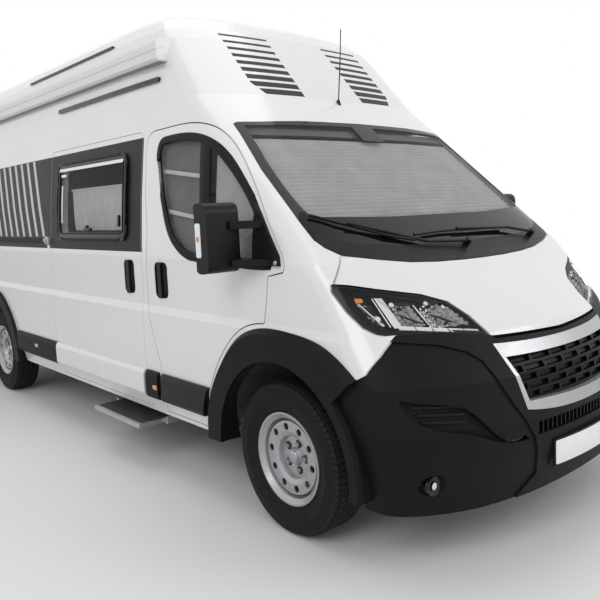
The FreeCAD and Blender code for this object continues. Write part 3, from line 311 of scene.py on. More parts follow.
silver = Finish("satin_silver", (0.42, 0.43, 0.44), 0.36, Metallic=0.75).mottled(9, 0.05).uneven(80)
silver = silver.dusty(0.1).done()
case_white = Finish("awning_case_lacquer", (0.74, 0.745, 0.74), 0.34, Coat_Weight=0.2).mottled(5, 0.04)
case_white = case_white.uneven(40).done()
chassis_black = Finish("chassis_coating", (0.017, 0.017, 0.018), 0.62).mottled(8, 0.3).uneven(40)
chassis_black = chassis_black.grained(160, 0.001).dusty(0.45, 1.1).done()
cast_metal = Finish("cast_metal", (0.30, 0.30, 0.31), 0.48, Metallic=0.8).mottled(6, 0.2).uneven(30)
cast_metal = cast_metal.grained(120, 0.001).done()
step_metal = Finish("ribbed_step_metal", (0.50, 0.51, 0.52), 0.36, Metallic=0.85).mottled(12, 0.1).uneven(60)
step_metal = step_metal.dusty(0.3).done()
wheel_silver = Finish("wheel_lacquer", (0.40, 0.41, 0.43), 0.33, Metallic=0.65, Coat_Weight=0.3)
wheel_silver = wheel_silver.mottled(10, 0.12).uneven(50).dusty(0.35, 0.9).done()
mirror_face = Finish("mirror_glass", (0.82, 0.83, 0.84), 0.03, Metallic=1.0).uneven(20, 0.02).done()
chrome = Finish("bright_reflector", (0.80, 0.81, 0.82), 0.10, Metallic=1.0).uneven(120, 0.05).done()
smoked_chrome = Finish("smoked_reflector", (0.34, 0.345, 0.35), 0.16, Metallic=1.0).mottled(38, 0.75)
smoked_chrome = smoked_chrome.uneven(120, 0.08).done()
light_bar = Finish("light_guide", (0.86, 0.87, 0.88), 0.25, Coat_Weight=0.5).mottled(30, 0.03)
light_bar = light_bar.uneven(80, 0.1).done()
white_trim = Finish("white_plastic", (0.90, 0.90, 0.89), 0.4).mottled(15, 0.05).uneven(60).done()
amber = Finish("amber_lens", (0.80, 0.25, 0.02), 0.18, Coat_Weight=0.8).mottled(40, 0.1)
amber = amber.uneven(90, 0.05).done()
red_lens = Finish("red_lens", (0.42, 0.012, 0.010), 0.18, Coat_Weight=0.8).mottled(40, 0.1)
red_lens = red_lens.uneven(90, 0.05).done()
laminate = Finish("oak_laminate", (0.44, 0.35, 0.25), 0.45).mottled(3, 0.15).uneven(30).done()

# %% [markdown]
# The tyres' tread is a relief in the shader. It is laid out round the nearer axle: blocks on the shoulder,
# grooves round the tread and fine rings on the side wall. The grooves and the gaps between blocks are also
# painted darker, which is painted shade.

# %% Tyre rubber
SHOULDER_RADIUS, TREAD_RADIUS = 0.333, 0.352
BLOCKS, BLOCK_GAP = 76.0, 0.34
GROOVES, GROOVE_WIDE = 27.0, 0.30
TRACKS = (0.905, 0.895)


def tread_rubber():
    """Tyre rubber with its tread, and painted shade in the tread's hollows."""
    rubber = Finish("tyre_rubber", (0.0080, 0.0079, 0.0078), 0.72, Specular_IOR_Level=0.2)
    rubber.mottled(18, 0.2).uneven(50)
    along, over = rubber.x - by_end(rubber, *AXLES), rubber.z - HUB_Z
    radius = length(along, over)
    turn = sum_of("ARCTAN2", over, along) / (2 * math.pi)
    block = sum_of("FRACT", turn * BLOCKS) > BLOCK_GAP
    shoulder = radius > SHOULDER_RADIUS
    centre = sum_of("ABSOLUTE", rubber.y) - by_end(rubber, *TRACKS)
    groove = (sum_of("FRACT", centre * GROOVES) < GROOVE_WIDE) * (radius > TREAD_RADIUS)
    ring = sum_of("SINE", radius * 900.0) * 0.06
    hollow = most(shoulder * (1.0 - block), groove)
    rubber.raised(ring - hollow, 0.018)
    rubber.color = blended(shoulder * 0.6, rubber.color, (0.024, 0.023, 0.022))
    # The hollows are also darkened in colour: painted shade in the grooves and the gaps between blocks.
    rubber.color = blended(hollow * 0.9, rubber.color, (0.001, 0.001, 0.001))
    return rubber.dusty(0.06, 0.8, (0.12, 0.11, 0.10)).done()


tyre_rubber = tread_rubber()

# %% [markdown]
# Glazing is thin dark glass that lets the view through: the cab's is the clearest, the camper's acrylic
# windows are darker and the rear panes nearly closed. The windscreen and the camper windows have a black
# border, printed or moulded, which the shader draws.

# %% Glazing
PRINT_EDGE = [(1.318, 0.872), (1.37, 0.862), (1.45, 0.842), (1.541, 0.850), (1.703, 0.835), (1.897, 0.797),
              (1.99, 0.790)]
PRINT_Z = (1.3, 2.0)
WINDOW_X, WINDOW_Z = (-0.438, 0.632), (1.363, 1.892)


def pane(name, tint, alpha, border=None):
    """Glass with an opaque black border where one is given."""
    glass = Finish(name, tint, 0.03, Coat_Weight=0.06, Coat_Roughness=0.02, Specular_IOR_Level=0.24)
    glass.uneven(12, 0.02)
    cover = ranged(glass.noise(9.0), 0.3, 0.8, alpha, min(alpha + 0.05, 1.0))
    if border:
        edge = border(glass)
        glass.color = blended(edge, glass.color, (0.006, 0.006, 0.007))
        cover = most(edge, cover)
    return glass.put("Alpha", cover).done()


def screen_border(glass):
    """The black print round the windscreen, about 40 mm wide, with a block for sensors at the top."""
    across = sum_of("ABSOLUTE", glass.y)
    bow = across * across
    limit = add(glass.tree, "ShaderNodeFloatCurve")
    points = limit.mapping.curves[0].points
    places = [((height - PRINT_Z[0]) / (PRINT_Z[1] - PRINT_Z[0]), half) for height, half in PRINT_EDGE]
    points[0].location = places[0]
    points[1].location = places[-1]
    for place in places[1:-1]:
        points.new(*place)
    limit.mapping.update()
    feed(glass.tree, ranged(glass.z, *PRINT_Z, 0.0, 1.0), limit.inputs["Value"])
    side = across > Value(glass.tree, limit.outputs["Value"])
    top = glass.z > 1.962 - bow * 0.028
    foot = glass.z < 1.452 + bow * 0.03
    return most(side, top, foot, (across < 0.085) * (glass.z > 1.875))


def window_border(glass):
    """The black frame moulded round a camper window."""
    return box_edge(glass, WINDOW_X, WINDOW_Z, 0.052, 0.03)


screen_glass = pane("windscreen_glass", (0.04, 0.045, 0.045), 0.16, screen_border)
door_glass = pane("door_glass", (0.03, 0.032, 0.034), 0.15)
camper_glass = pane("acrylic_window", (0.014, 0.015, 0.017), 0.17, window_border)
rear_glass = pane("rear_privacy_glass", (0.010, 0.011, 0.013), 0.86)


def lamp_cover():
    """Clear lamp covers at the front and red ones with a pale field at the back."""
    cover = Finish("lamp_cover", (0.03, 0.031, 0.032), 0.05, Coat_Weight=0.4, Coat_Roughness=0.03)
    rear = cover.x < 0.0
    red = blended(within(cover.z, 1.00, 1.10), (0.36, 0.010, 0.008), (0.55, 0.55, 0.55))
    cover.color = blended(rear, cover.color, red)
    cover.raised(sum_of("SINE", cover.z * 700.0) * rear, 0.001, 0.5)
    return cover.put("Alpha", most(rear * 0.96, 0.12)).uneven(60, 0.03).done()


lamp_lens = lamp_cover()

# %% [markdown]
# Fabrics have a weave: two crossed waves at thread scale under a soft mottle, with a little sheen.

# %% Fabrics


def woven(name, color, rough=0.92, pitch=900.0, sheen=0.15):
    """A woven cloth."""
    cloth = Finish(name, color, rough, Sheen_Weight=sheen).mottled(11, 0.14).uneven(40, 0.04)
    x, y, z = (sum_of("SINE", axis * pitch) for axis in (cloth.x, cloth.y, cloth.z))
    return cloth.raised((x + y) * z, 0.0006, 0.5).done()


seat_cloth = woven("seat_cloth", (0.050, 0.050, 0.054))
seat_side_cloth = woven("seat_side_cloth", (0.022, 0.022, 0.024))
blind_cloth = woven("pleated_blind_cloth", (0.74, 0.74, 0.735), 0.9, 1400, 0.05)
header_cloth = woven("blind_header_cloth", (0.26, 0.26, 0.26), 0.8, 1400, 0.05)
door_blind_cloth = woven("door_blind_cloth", (0.27, 0.27, 0.275), 0.85, 1400, 0.05)
curtain_cloth = woven("window_curtain_cloth", (0.86, 0.86, 0.85), 0.95, 1100, 0.2)
mattress_cloth = woven("mattress_ticking", (0.50, 0.49, 0.46), 0.95, 700, 0.2)
# This grey cloth only serves the painted shade strip under the awning's case.
awning_shade_cloth = woven("awning_shade_fabric", (0.28, 0.28, 0.29), 0.9, 800, 0.1)

# %% [markdown]
# Each node of the construction takes the finish of its slot. A few nodes take a finish of their own.

# %% Finishes on the construction
FINISH = {
    "white_paint": white, "clear_glass": door_glass, "tinted_glass": rear_glass, "lamp_lens": lamp_lens,
    "black_plastic": black_plastic, "grey_plastic": grey_plastic, "silver_trim": silver,
    "chassis_paint": chassis_black, "engine_metal": cast_metal, "tyre_rubber": tyre_rubber,
    "wheel_silver": wheel_silver, "mirror_face": mirror_face, "seat_fabric": seat_cloth,
    "blind_fabric": blind_cloth, "furniture": laminate, "roof_gear": gloss_black, "step_metal": step_metal,
}
OWN_FINISH = {"grille": grille_plastic, "windscreen": screen_glass, "camper_windows": camper_glass,
              "awning": case_white}
slot_of = {part["node"]: part["material_slot"] for part in frame["record"]["subparts"]}
for name, node in nodes.items():
    node.data.materials.clear()
    node.data.materials.append(OWN_FINISH.get(name, FINISH[slot_of[name]]))
print("finishes on", len(nodes), "nodes")

# %% [markdown]
# The added pieces sit on the panels' real surfaces. Their outlines are drawn in the front, rear or side view
# and dropped onto the panel, so a seal or a slat follows the curve of the body.

# %% Finding the panels' surfaces
SURFACES = {}
SIDES = (("right", -1), ("left", 1))
OUTSIDE_X, OUTSIDE_Y = 4.0, 2.0


def surface_of(node):
    """A search tree of one node's mesh."""
    if node not in SURFACES:
        mesh = nodes[node].data
        faces = [polygon.vertices for polygon in mesh.polygons]
        SURFACES[node] = BVHTree.FromPolygons([vert.co for vert in mesh.vertices], faces)
    return SURFACES[node]


def dropped(names, start, way):
    """Where a ray first meets one of the nodes, and the surface's outward direction there."""
    found = None
    for node in names:
        place, normal, _, far = surface_of(node).ray_cast(start, way)
        if place is not None and (found is None or far < found[2]):
            found = (place, normal if normal.dot(way) < 0 else -normal, far)
    if found:
        return found[:2]
    hits = [surface_of(node).find_nearest(start + way * 1.5) for node in names]
    return min(hits, key=lambda hit: hit[3])[0], -way


def on_front(*names):
    """Drops (y, z) onto what shows from the front."""
    return lambda point: dropped(names, Vector((OUTSIDE_X, point[0], point[1])), Vector((-1, 0, 0)))


def on_back(*names):
    """Drops (y, z) onto what shows from behind."""
    return lambda point: dropped(names, Vector((-OUTSIDE_X, point[0], point[1])), Vector((1, 0, 0)))


def on_side(side, *names):
    """Drops (x, z) onto what shows from one side, -1 for the right and 1 for the left."""
    way = Vector((0, -side, 0))
    return lambda point: dropped(names, Vector((point[0], side * OUTSIDE_Y, point[1])), way)


def rounded(points, times=2):
    """The closed outline with its corners cut again and again."""
    points = [Vector(point) for point in points]
    for _ in range(times):
        points = [a.lerp(b, share) for a, b in zip(points, points[1:] + points[:1]) for share in (0.25, 0.75)]
    return points


def evenly(points, step, closed=True):
    """The outline with points no further apart than the step."""
    points = [Vector(point) for point in points]
    result = []
    for a, b in zip(points, points[1:] + points[:1] if closed else points[1:]):
        parts = max(1, math.ceil((b - a).length / step))
        result += [a.lerp(b, part / parts) for part in range(parts)]
    return result if closed else result + points[-1:]


def square(x_span, z_span, corner=0.0):
    """A rectangle, with rounded corners where a radius is given."""
    (x_low, x_high), (z_low, z_high) = x_span, z_span
    if not corner:
        return [(x_low, z_low), (x_high, z_low), (x_high, z_high), (x_low, z_high)]
    points = []
    for x, z, turn in ((x_high - corner, z_low + corner, -90), (x_high - corner, z_high - corner, 0),
                       (x_low + corner, z_high - corner, 90), (x_low + corner, z_low + corner, 180)):
        for angle in (math.radians(turn + 18 * part) for part in range(6)):
            points.append((x + corner * math.cos(angle), z + corner * math.sin(angle)))
    return points


# %% [markdown]
# A few ways of making trim cover nearly everything: a ribbon that follows an outline, a patch that fills one,
# a sheet, and solids that are turned, straight or bent. Each shape goes onto one workbench. A finished piece
# takes all that lies there with it and leaves the bench empty.

# %% Making trim


class Bench:
    """The workbench with the mesh that is being made."""

    work = bmesh.new()


def bridged(rings, capped=True):
    """Joins rings of points into a skin. A ring of one point makes a tip."""
    for low, high in zip(rings, rings[1:]):
        for i in range(max(len(low), len(high))):
            corners = dict.fromkeys((low[i % len(low)], low[(i + 1) % len(low)], high[(i + 1) % len(high)],
                                     high[i % len(high)]))
            if len(corners) > 2:
                Bench.work.faces.new(list(corners))
    if capped:
        Bench.work.faces.new(rings[0][::-1])
        Bench.work.faces.new(rings[-1])


def circle(centre, first, second, radius, sides):
    """A ring of new points, or a single point where the radius is nought."""
    if not radius:
        return [Bench.work.verts.new(centre)]
    return [Bench.work.verts.new(centre + (first * math.cos(a) + second * math.sin(a)) * radius)
            for a in (2 * math.pi * i / sides for i in range(sides))]


def ribbon(outline, width, drop, lift, thick, closed=True):
    """A band along an outline, on its inner side, dropped onto a panel."""
    outline = [Vector(point) for point in outline]
    area = sum(a.x * b.y - b.x * a.y for a, b in zip(outline, outline[1:] + outline[:1]))
    inward = width if area > 0 else -width
    earlier = outline[-1:] + outline[:-1] if closed else outline[:1] + outline[:-1]
    later = outline[1:] + outline[:1] if closed else outline[1:] + outline[-1:]
    rings = []
    for last, point, coming in zip(earlier, outline, later):
        way = (coming - last).normalized()
        (outer, out_way), (inner, in_way) = drop(point), drop(point + Vector((-way.y, way.x)) * inward)
        corners = (outer + out_way * lift, inner + in_way * lift, inner + in_way * (lift - thick),
                   outer + out_way * (lift - thick))
        rings.append([Bench.work.verts.new(corner) for corner in corners])
    bridged(rings + rings[:1] if closed else rings, not closed)


def strip(points, step, width, drop, lift, thick):
    """A ribbon along an open line."""
    ribbon(evenly(points, step, False), width, drop, lift, thick, False)


def patch(outline, drop, lift=0.003, thick=0.006, step=0.03, shape=None):
    """A filled outline dropped onto a panel; shape adds its own lift at a flat point."""
    work, flat = Bench.work, bmesh.new()
    flat.faces.new([flat.verts.new((point[0], point[1], 0)) for point in outline])
    for axis in (0, 1):
        values = [point[axis] for point in outline]
        way = Vector((1 - axis, axis, 0))
        place = min(values) + step
        while place < max(values):
            everything = flat.verts[:] + flat.edges[:] + flat.faces[:]
            bmesh.ops.bisect_plane(flat, geom=everything, plane_co=way * place, plane_no=way, dist=1e-6)
            place += step
    tops, backs = {}, {}
    for vert in flat.verts:
        place, normal = drop((vert.co.x, vert.co.y))
        rise = lift + (shape(vert.co.x, vert.co.y) if shape else 0.0)
        tops[vert] = work.verts.new(place + normal * rise)
        backs[vert] = work.verts.new(place + normal * (rise - thick))
    for face in flat.faces:
        work.faces.new([tops[v] for v in face.verts])
        work.faces.new([backs[v] for v in reversed(face.verts)])
    for edge in flat.edges:
        if len(edge.link_faces) == 1:
            a, b = edge.verts
            work.faces.new((tops[a], tops[b], backs[b], backs[a]))
    flat.free()


def spread(lines):
    """A sheet over rows of points, and its area."""
    rows = [[Bench.work.verts.new(point) for point in line] for line in lines]
    area = 0.0
    for low, high in zip(rows, rows[1:]):
        for i in range(len(low) - 1):
            area += Bench.work.faces.new((low[i], low[i + 1], high[i + 1], high[i])).calc_area()
    return area


def turned(centre, way, profile, sides):
    """A solid of revolution, from a profile of (radius, height along the axis)."""
    way = Vector(way).normalized()
    first = way.orthogonal().normalized()
    second = way.cross(first)
    bridged([circle(Vector(centre) + way * height, first, second, radius, sides)
             for radius, height in profile], False)


def bar(start, end, width, height, up=(0, 0, 1)):
    """A straight bar of rectangular section."""
    start, end = Vector(start), Vector(end)
    way = (end - start).normalized()
    side = way.cross(Vector(up)).normalized() * width / 2
    top = side.cross(way).normalized() * height / 2
    corners = (-side - top, side - top, side + top, top - side)
    bridged([[Bench.work.verts.new(place + corner) for corner in corners] for place in (start, end)])


def tube(path, radius, sides=10):
    """A round rod along a path."""
    path = [Vector(point) for point in path]
    rings = []
    for last, point, coming in zip(path[:1] + path, path, path[1:] + path[-1:]):
        way = (coming - last).normalized()
        first = way.cross(Vector((0.31, 0.17, 0.93))).normalized()
        rings.append(circle(point, first, way.cross(first), radius, sides))
    bridged(rings)


def taken(name):
    """The bench's mesh with its faces turned outwards."""
    work, Bench.work = Bench.work, bmesh.new()
    bmesh.ops.recalc_face_normals(work, faces=work.faces)
    mesh = bpy.data.meshes.new(name)
    work.to_mesh(mesh)
    work.free()
    return mesh


def linked(name, data):
    """A new object in the scene."""
    made = bpy.data.objects.new(name, data)
    bpy.context.scene.collection.objects.link(made)
    return made


def placed(name, mesh, material, body, smooth=True):
    """A mesh as a piece of one finish that rides on a body."""
    mesh.materials.clear()
    mesh.materials.append(material)
    if smooth:
        mesh.shade_smooth()
    piece = linked(name, mesh)
    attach(piece, body)
    return piece


def finished(name, material, body, bevel=0.0):
    """The bench's mesh as a piece with softened or crisp edges."""
    piece = placed(name, taken(name), material, body)
    if bevel:
        edge = piece.modifiers.new("softened edges", "BEVEL")
        edge.width = bevel
        edge.segments = 2
        edge.limit_method = "ANGLE"
        edge.angle_limit = math.radians(40)
    else:
        edge = piece.modifiers.new("crisp edges", "EDGE_SPLIT")
        edge.split_angle = math.radians(42)
    return piece


# %% [markdown]
# Door windows: a black rubber seal 40 mm wide goes round the whole opening, and a black pillar parts the drop
# glass from the fixed quarter light. Behind the glass hangs a grey blind, and a pleated one behind the
# quarter light. Two white bars across the grey blind are painted reflections of light on the glass.

# %% Cab door windows
DOOR_WINDOW = [(0.966, 1.816), (0.968, 1.872), (0.990, 1.918), (1.030, 1.938), (1.188, 1.942), (1.327, 1.930),
               (1.444, 1.900), (1.541, 1.856), (1.716, 1.720), (1.850, 1.588), (1.935, 1.480), (2.050, 1.310),
               (2.010, 1.240), (1.860, 1.238), (1.333, 1.264), (1.213, 1.308), (1.106, 1.399), (1.028, 1.592)]
PILLAR = [(1.388, 1.905), (1.478, 1.880), (1.538, 1.270), (1.448, 1.270)]
DOOR_BLIND = [(1.000, 1.800), (1.020, 1.900), (1.180, 1.915), (1.400, 1.890), (1.452, 1.280), (1.340, 1.290),
              (1.230, 1.330), (1.130, 1.410), (1.060, 1.600)]
PAINTED_REFLECTION_BARS = ([(1.015, 1.742), (1.412, 1.690)], [(1.070, 1.542), (1.430, 1.492)])
QUARTER_BLIND = [(1.500, 1.830), (1.560, 1.800), (1.700, 1.680), (1.840, 1.540), (1.960, 1.380),
                 (1.990, 1.290), (1.545, 1.290)]
for side_name, side in SIDES:
    body = "front_door_" + side_name
    drop = on_side(side, "front_door_glass_" + side_name)
    ribbon(evenly(rounded(DOOR_WINDOW), 0.03), 0.040, drop, 0.004, 0.010)
    patch(PILLAR, drop, 0.003, 0.008, 0.06)
    finished("door_window_seal_" + side_name, seal_rubber, body, 0.0015)
    patch(DOOR_BLIND, drop, -0.032, 0.003, 0.05)
    finished("door_blind_" + side_name, door_blind_cloth, body)
    # Two white bars across the blind: painted reflections of light on the door glass.
    for rail in PAINTED_REFLECTION_BARS:
        strip(rail, 0.04, 0.022, drop, -0.018, 0.010)
    finished("door_blind_rails_" + side_name, white_trim, body, 0.001)
    patch(QUARTER_BLIND, drop, -0.030, 0.002, 0.006, lambda x, z: 0.0025 * math.sin((x + 0.8 * z) * 560))
    finished("quarter_blind_" + side_name, blind_cloth, body)
print("door windows dressed")

# %% [markdown]
# The camper windows are acrylic panes in a black frame. The frame has a raised inner line, a white rail along
# the top, a catch at the bottom and a stay, and a short gathered curtain hangs inside.

# %% Camper windows
OUTER_LINE = square(WINDOW_X, WINDOW_Z, 0.050)
INNER_LINE = square((WINDOW_X[0] + 0.040, WINDOW_X[1] - 0.040), (WINDOW_Z[0] + 0.040, WINDOW_Z[1] - 0.040),
                    0.03)
TOP_RAIL = [(WINDOW_X[0] + 0.045, WINDOW_Z[1] - 0.058), (WINDOW_X[1] - 0.050, WINDOW_Z[1] - 0.058)]
CATCHES = (((0.030, 0.150), (1.424, 1.448), 0.012, 0.016), ((0.075, 0.105), (1.440, 1.462), 0.016, 0.016),
           ((0.532, 0.556), (1.450, 1.520), 0.010, 0.014))
CURTAIN_X, CURTAIN_WIDE, CURTAIN_Y = -0.300, 0.860, 0.925
CURTAIN_FOOT, CURTAIN_HIGH = 1.425, 0.275
COLUMNS, ROWS = 200, 16
ROD_X, ROD_WIDE, ROD_Z = CURTAIN_X - 0.02, CURTAIN_WIDE + 0.04, CURTAIN_FOOT + CURTAIN_HIGH + 0.004


def folds(x, z):
    """How far the curtain's cloth stands off, in soft upright folds."""
    return 0.007 * math.sin(x * 92 + 1.6 * math.sin(z * 9)) + 0.004 * math.sin(x * 41 + 2 + z * 5)


along = [CURTAIN_WIDE * i / COLUMNS for i in range(COLUMNS + 1)]
upward = [CURTAIN_HIGH * j / ROWS for j in range(ROWS + 1)]
for side_name, side in SIDES:
    drop = on_side(side, "camper_windows")
    ribbon(evenly(OUTER_LINE, 0.05), 0.016, drop, 0.004, 0.008)
    ribbon(evenly(INNER_LINE, 0.05), 0.010, drop, 0.0035, 0.008)
    finished("camper_window_frame_" + side_name, seal_rubber, "body", 0.0015)
    strip(TOP_RAIL, 0.06, -0.020, drop, 0.004, 0.008)
    patch(square((-0.360, -0.280), (1.796, 1.814)), drop, 0.004, 0.008, 0.05)
    patch(square((-0.352, -0.338), (1.480, 1.740)), drop, 0.002, 0.006, 0.08)
    finished("camper_window_rail_" + side_name, white_trim, "body", 0.001)
    for x_span, z_span, lift, thick in CATCHES:
        patch(rounded(square(x_span, z_span), 1), drop, lift, thick)
    finished("camper_window_catch_" + side_name, gloss_black, "body", 0.001)
    spread([[(CURTAIN_X + x, side * (CURTAIN_Y + folds(x, z)), CURTAIN_FOOT + z) for x in along]
            for z in upward])
    curtain = finished("window_curtain_" + side_name, curtain_cloth, "body")
    tube([(ROD_X + ROD_WIDE * i / 8, side * CURTAIN_Y, ROD_Z) for i in range(9)], 0.008)
    finished("curtain_rail_" + side_name, white_trim, "body")

# %% [markdown]
# The windscreen is closed by a pleated blind: level pleats at 20 mm, a dark rail above and below them and a
# grey header. It replaces the plain curved sheet of the construction and keeps its place.

# %% Windscreen blind
SCREEN_EDGE = [(1.45, 0.842), (1.541, 0.850), (1.703, 0.835), (1.897, 0.797), (1.99, 0.785)]
BLIND_WIDE = 1.66
on_glass = on_front("windscreen")


def glass_line(z, margin, parts):
    """Points across the windscreen's clear width at a height."""
    for (low, wide), (high, narrow) in zip(SCREEN_EDGE, SCREEN_EDGE[1:]):
        if z <= high:
            half = wide + (narrow - wide) * max(z - low, 0) / (high - low) + margin
            return [on_glass((-half + 2 * half * i / parts, z)) for i in range(parts + 1)]


def pleated(name, low, high, pitch, depth, material):
    """A sheet behind the glass in level pleats."""
    rows = round((high - low) / pitch * 2)
    lines = []
    for j in range(rows + 1):
        back = 0.030 + (depth if j % 2 else -depth)
        line = glass_line(low + (high - low) * j / rows, 0.012, 40)
        lines.append([place - normal * back for place, normal in line])
    area = spread(lines)
    sheet = finished(name, material, "body")
    area / BLIND_WIDE
    return sheet


blind_pleats = pleated("windscreen_blind_pleats", 1.470, 1.900, 0.020, 0.004, blind_cloth)
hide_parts("windscreen_blind")
pleated("windscreen_blind_header", 1.912, 1.958, 0.016, 0.001, header_cloth)
for height in (1.906, 1.466):
    tube([place - normal * 0.026 for place, normal in glass_line(height, 0.006, 30)], 0.009, 8)
finished("windscreen_blind_rails", seal_rubber, "body")
print("blind pleats", len(blind_pleats.data.polygons), "faces")

# %% [markdown]
# Each head lamp holds, from the rear: a small reflector with an amber lens over it, a bright divider, two
# smoked reflectors with bulbs, dark shades and bright edges, and a light guide in five lengths along the
# bottom. A grey strip lies under the top. The fog lamps are dark bowls with a bright bulb. Each point of an
# outline is its distance from the van's middle and its height.

# %% Lamps
DIVIDER = [(0.837, 1.131), (0.804, 1.128), (0.796, 1.010), (0.828, 1.011)]
REFLECTORS = (
    ([(0.803, 1.118), (0.700, 1.108), (0.690, 1.016), (0.800, 1.020)], -0.012, 0.757, 380, 90),
    ([(0.668, 1.074), (0.634, 1.100), (0.573, 1.098), (0.530, 1.070), (0.500, 1.000), (0.676, 1.010)], -0.012,
     0.625, 380, 90),
    ([(0.908, 1.118), (0.862, 1.112), (0.848, 1.030), (0.880, 1.020)], -0.014, 0.880, 300, 200))
SHADES = (
    ([(0.772, 1.107), (0.706, 1.101), (0.710, 1.089), (0.770, 1.094)], -0.004),
    ([(0.795, 1.065), (0.760, 1.050), (0.698, 1.017), (0.735, 1.026)], -0.004),
    ([(0.614, 1.099), (0.570, 1.096), (0.572, 1.085), (0.612, 1.088)], -0.004),
    ([(0.655, 1.052), (0.620, 1.040), (0.560, 1.008), (0.596, 1.016)], -0.004),
    ([(0.896, 1.100), (0.868, 1.098), (0.862, 1.066), (0.884, 1.060)], -0.006))
BULBS = ((0.782, 1.100), (0.626, 1.092), (0.868, 1.050))
BULB = [(0.0, 0.0), (0.011, 0.0), (0.011, 0.004), (0.006, 0.008), (0.0, 0.009)]
BRIGHT_EDGES = ([(0.690, 1.090), (0.682, 1.010)], [(0.905, 1.112), (0.862, 1.022)],
                [(0.845, 1.128), (0.838, 1.016)])
GUIDE_Y, GUIDE_Z, GUIDE_SLOPE = 0.812, 1.004, 0.044 / 0.33
GUIDE_PITCH, GUIDE_GAP, GUIDE_HIGH = 0.066, 0.005, 0.015
TOP_LINE = [(0.900, 1.160), (0.760, 1.135), (0.583, 1.098)]
AMBER_LENS = [(0.912, 1.134), (0.884, 1.132), (0.886, 1.118), (0.912, 1.114)]
FOG_X, FOG_Y, FOG_Z = 2.775, 0.837, 0.392
FOG_BOWL = [(0.0, 0.004), (0.010, 0.004), (0.016, 0.012), (0.018, 0.014), (0.040, 0.016), (0.040, 0.0),
            (0.0, 0.0)]
FOG_BULB = [(0.0, 0.0), (0.012, 0.002), (0.015, 0.007), (0.0, 0.009)]


def rippled(centre, rise, run):
    """A reflector's hollow, deepest along its middle and rippled."""
    return lambda y, z: -0.018 + abs(abs(y) - centre) * 0.18 + 0.005 * math.sin(z * rise + abs(y) * run)


for side_name, side in SIDES:
    drop = on_front("lamps")
    own = lambda points, side=side: [(side * y, z) for y, z in points]
    patch(own(DIVIDER), drop, -0.006, 0.010, 0.02)
    finished("lamp_divider_" + side_name, chrome, "body", 0.001)
    for outline, lift, centre, rise, run in REFLECTORS:
        patch(own(outline), drop, lift, 0.004, 0.008, rippled(centre, rise, run))
    finished("lamp_reflectors_" + side_name, smoked_chrome, "body")
    for outline, lift in SHADES:
        patch(own(outline), drop, lift, 0.004, 0.02)
    finished("lamp_shades_" + side_name, gloss_black, "body")
    for point in own(BULBS):
        place, normal = drop(point)
        turned(place - normal * 0.010, normal, BULB, 20)
    finished("lamp_bulbs_" + side_name, light_bar, "body")
    for line in BRIGHT_EDGES:
        strip(own(line), 0.02, 0.005, drop, -0.004, 0.005)
    finished("lamp_reflector_edges_" + side_name, chrome, "body")
    for part in range(5):
        ends = (GUIDE_Y - GUIDE_PITCH * part, GUIDE_Y - GUIDE_PITCH * (part + 1) + GUIDE_GAP)
        (y, z), (last_y, last_z) = ((end, GUIDE_Z - GUIDE_SLOPE * (GUIDE_Y - end)) for end in ends)
        outline = [(y, z), (last_y, last_z), (last_y, last_z + GUIDE_HIGH), (y, z + GUIDE_HIGH)]
        patch(own(outline), drop, -0.005, 0.008, 0.04)
    finished("lamp_light_guide_" + side_name, light_bar, "body", 0.001)
    strip(own(TOP_LINE), 0.03, -0.012 * side, drop, -0.004, 0.006)
    finished("lamp_top_strip_" + side_name, grey_plastic, "body")
    patch(own(AMBER_LENS), drop, -0.006, 0.008, 0.02)
    finished("lamp_amber_" + side_name, amber, "body", 0.001)
    turned((FOG_X, side * FOG_Y, FOG_Z), (1, 0, 0), FOG_BOWL, 28)
    finished("fog_lamp_reflector_" + side_name, gloss_black, "body")
    turned((FOG_X + 0.009, side * FOG_Y, FOG_Z), (1, 0, 0), FOG_BULB, 20)
    finished("fog_lamp_bulb_" + side_name, chrome, "body")
print("lamps filled")

# %% [markdown]
# Number plates are blank: a white plate in a black holder, about 520 by 110 mm, at the front on the bumper's
# pad and at the rear on the left door.

# %% Number plates
PLATE_Z, PLATE_HALF, PLATE_STAND = 0.418, 0.262, 0.009
front_drop = on_front("front_bumper")
flat_x = max(front_drop((y, PLATE_Z + z))[0].x for y in (-0.2, 0.0, 0.2) for z in (-0.04, 0.0, 0.04))
side_x = max(front_drop((y, PLATE_Z))[0].x for y in (-PLATE_HALF, PLATE_HALF))
print("plate pad from x", round(side_x, 4), "to", round(flat_x, 4))


def plate_place(point):
    """A gently bowed plate in front of the bumper's pad."""
    bow = min(abs(point[0]) / PLATE_HALF, 1.0) ** 2
    return Vector((flat_x + PLATE_STAND + (side_x - flat_x) * bow, point[0], point[1])), Vector((1, 0, 0))


rear_place = on_back("rear_door_left")
patch(square((-0.266, 0.266), (PLATE_Z - 0.061, PLATE_Z + 0.061), 0.010), plate_place, 0.004, 0.008, 0.06)
finished("front_plate_holder", black_plastic, "body", 0.001)
patch(square((-0.257, 0.257), (PLATE_Z - 0.053, PLATE_Z + 0.053), 0.008), plate_place, 0.0065, 0.003, 0.06)
finished("front_plate_blank", white_trim, "body", 0.0005)
patch(square((0.170, 0.700), (0.900, 1.020)), rear_place, 0.004, 0.008, 0.1)
finished("rear_plate_holder", black_plastic, "rear_door_left", 0.001)
patch(square((0.178, 0.692), (0.907, 1.013)), rear_place, 0.006, 0.003, 0.1)
finished("rear_plate_blank", white_trim, "rear_door_left", 0.0005)

# %% [markdown]
# The intakes: three short slats fill the outer end of each side intake, and thin upright ribs divide the
# lower centre slot into cells. The ribs repeat, so Geometry Nodes sets them in a row.

# %% A row and a ring of like pieces


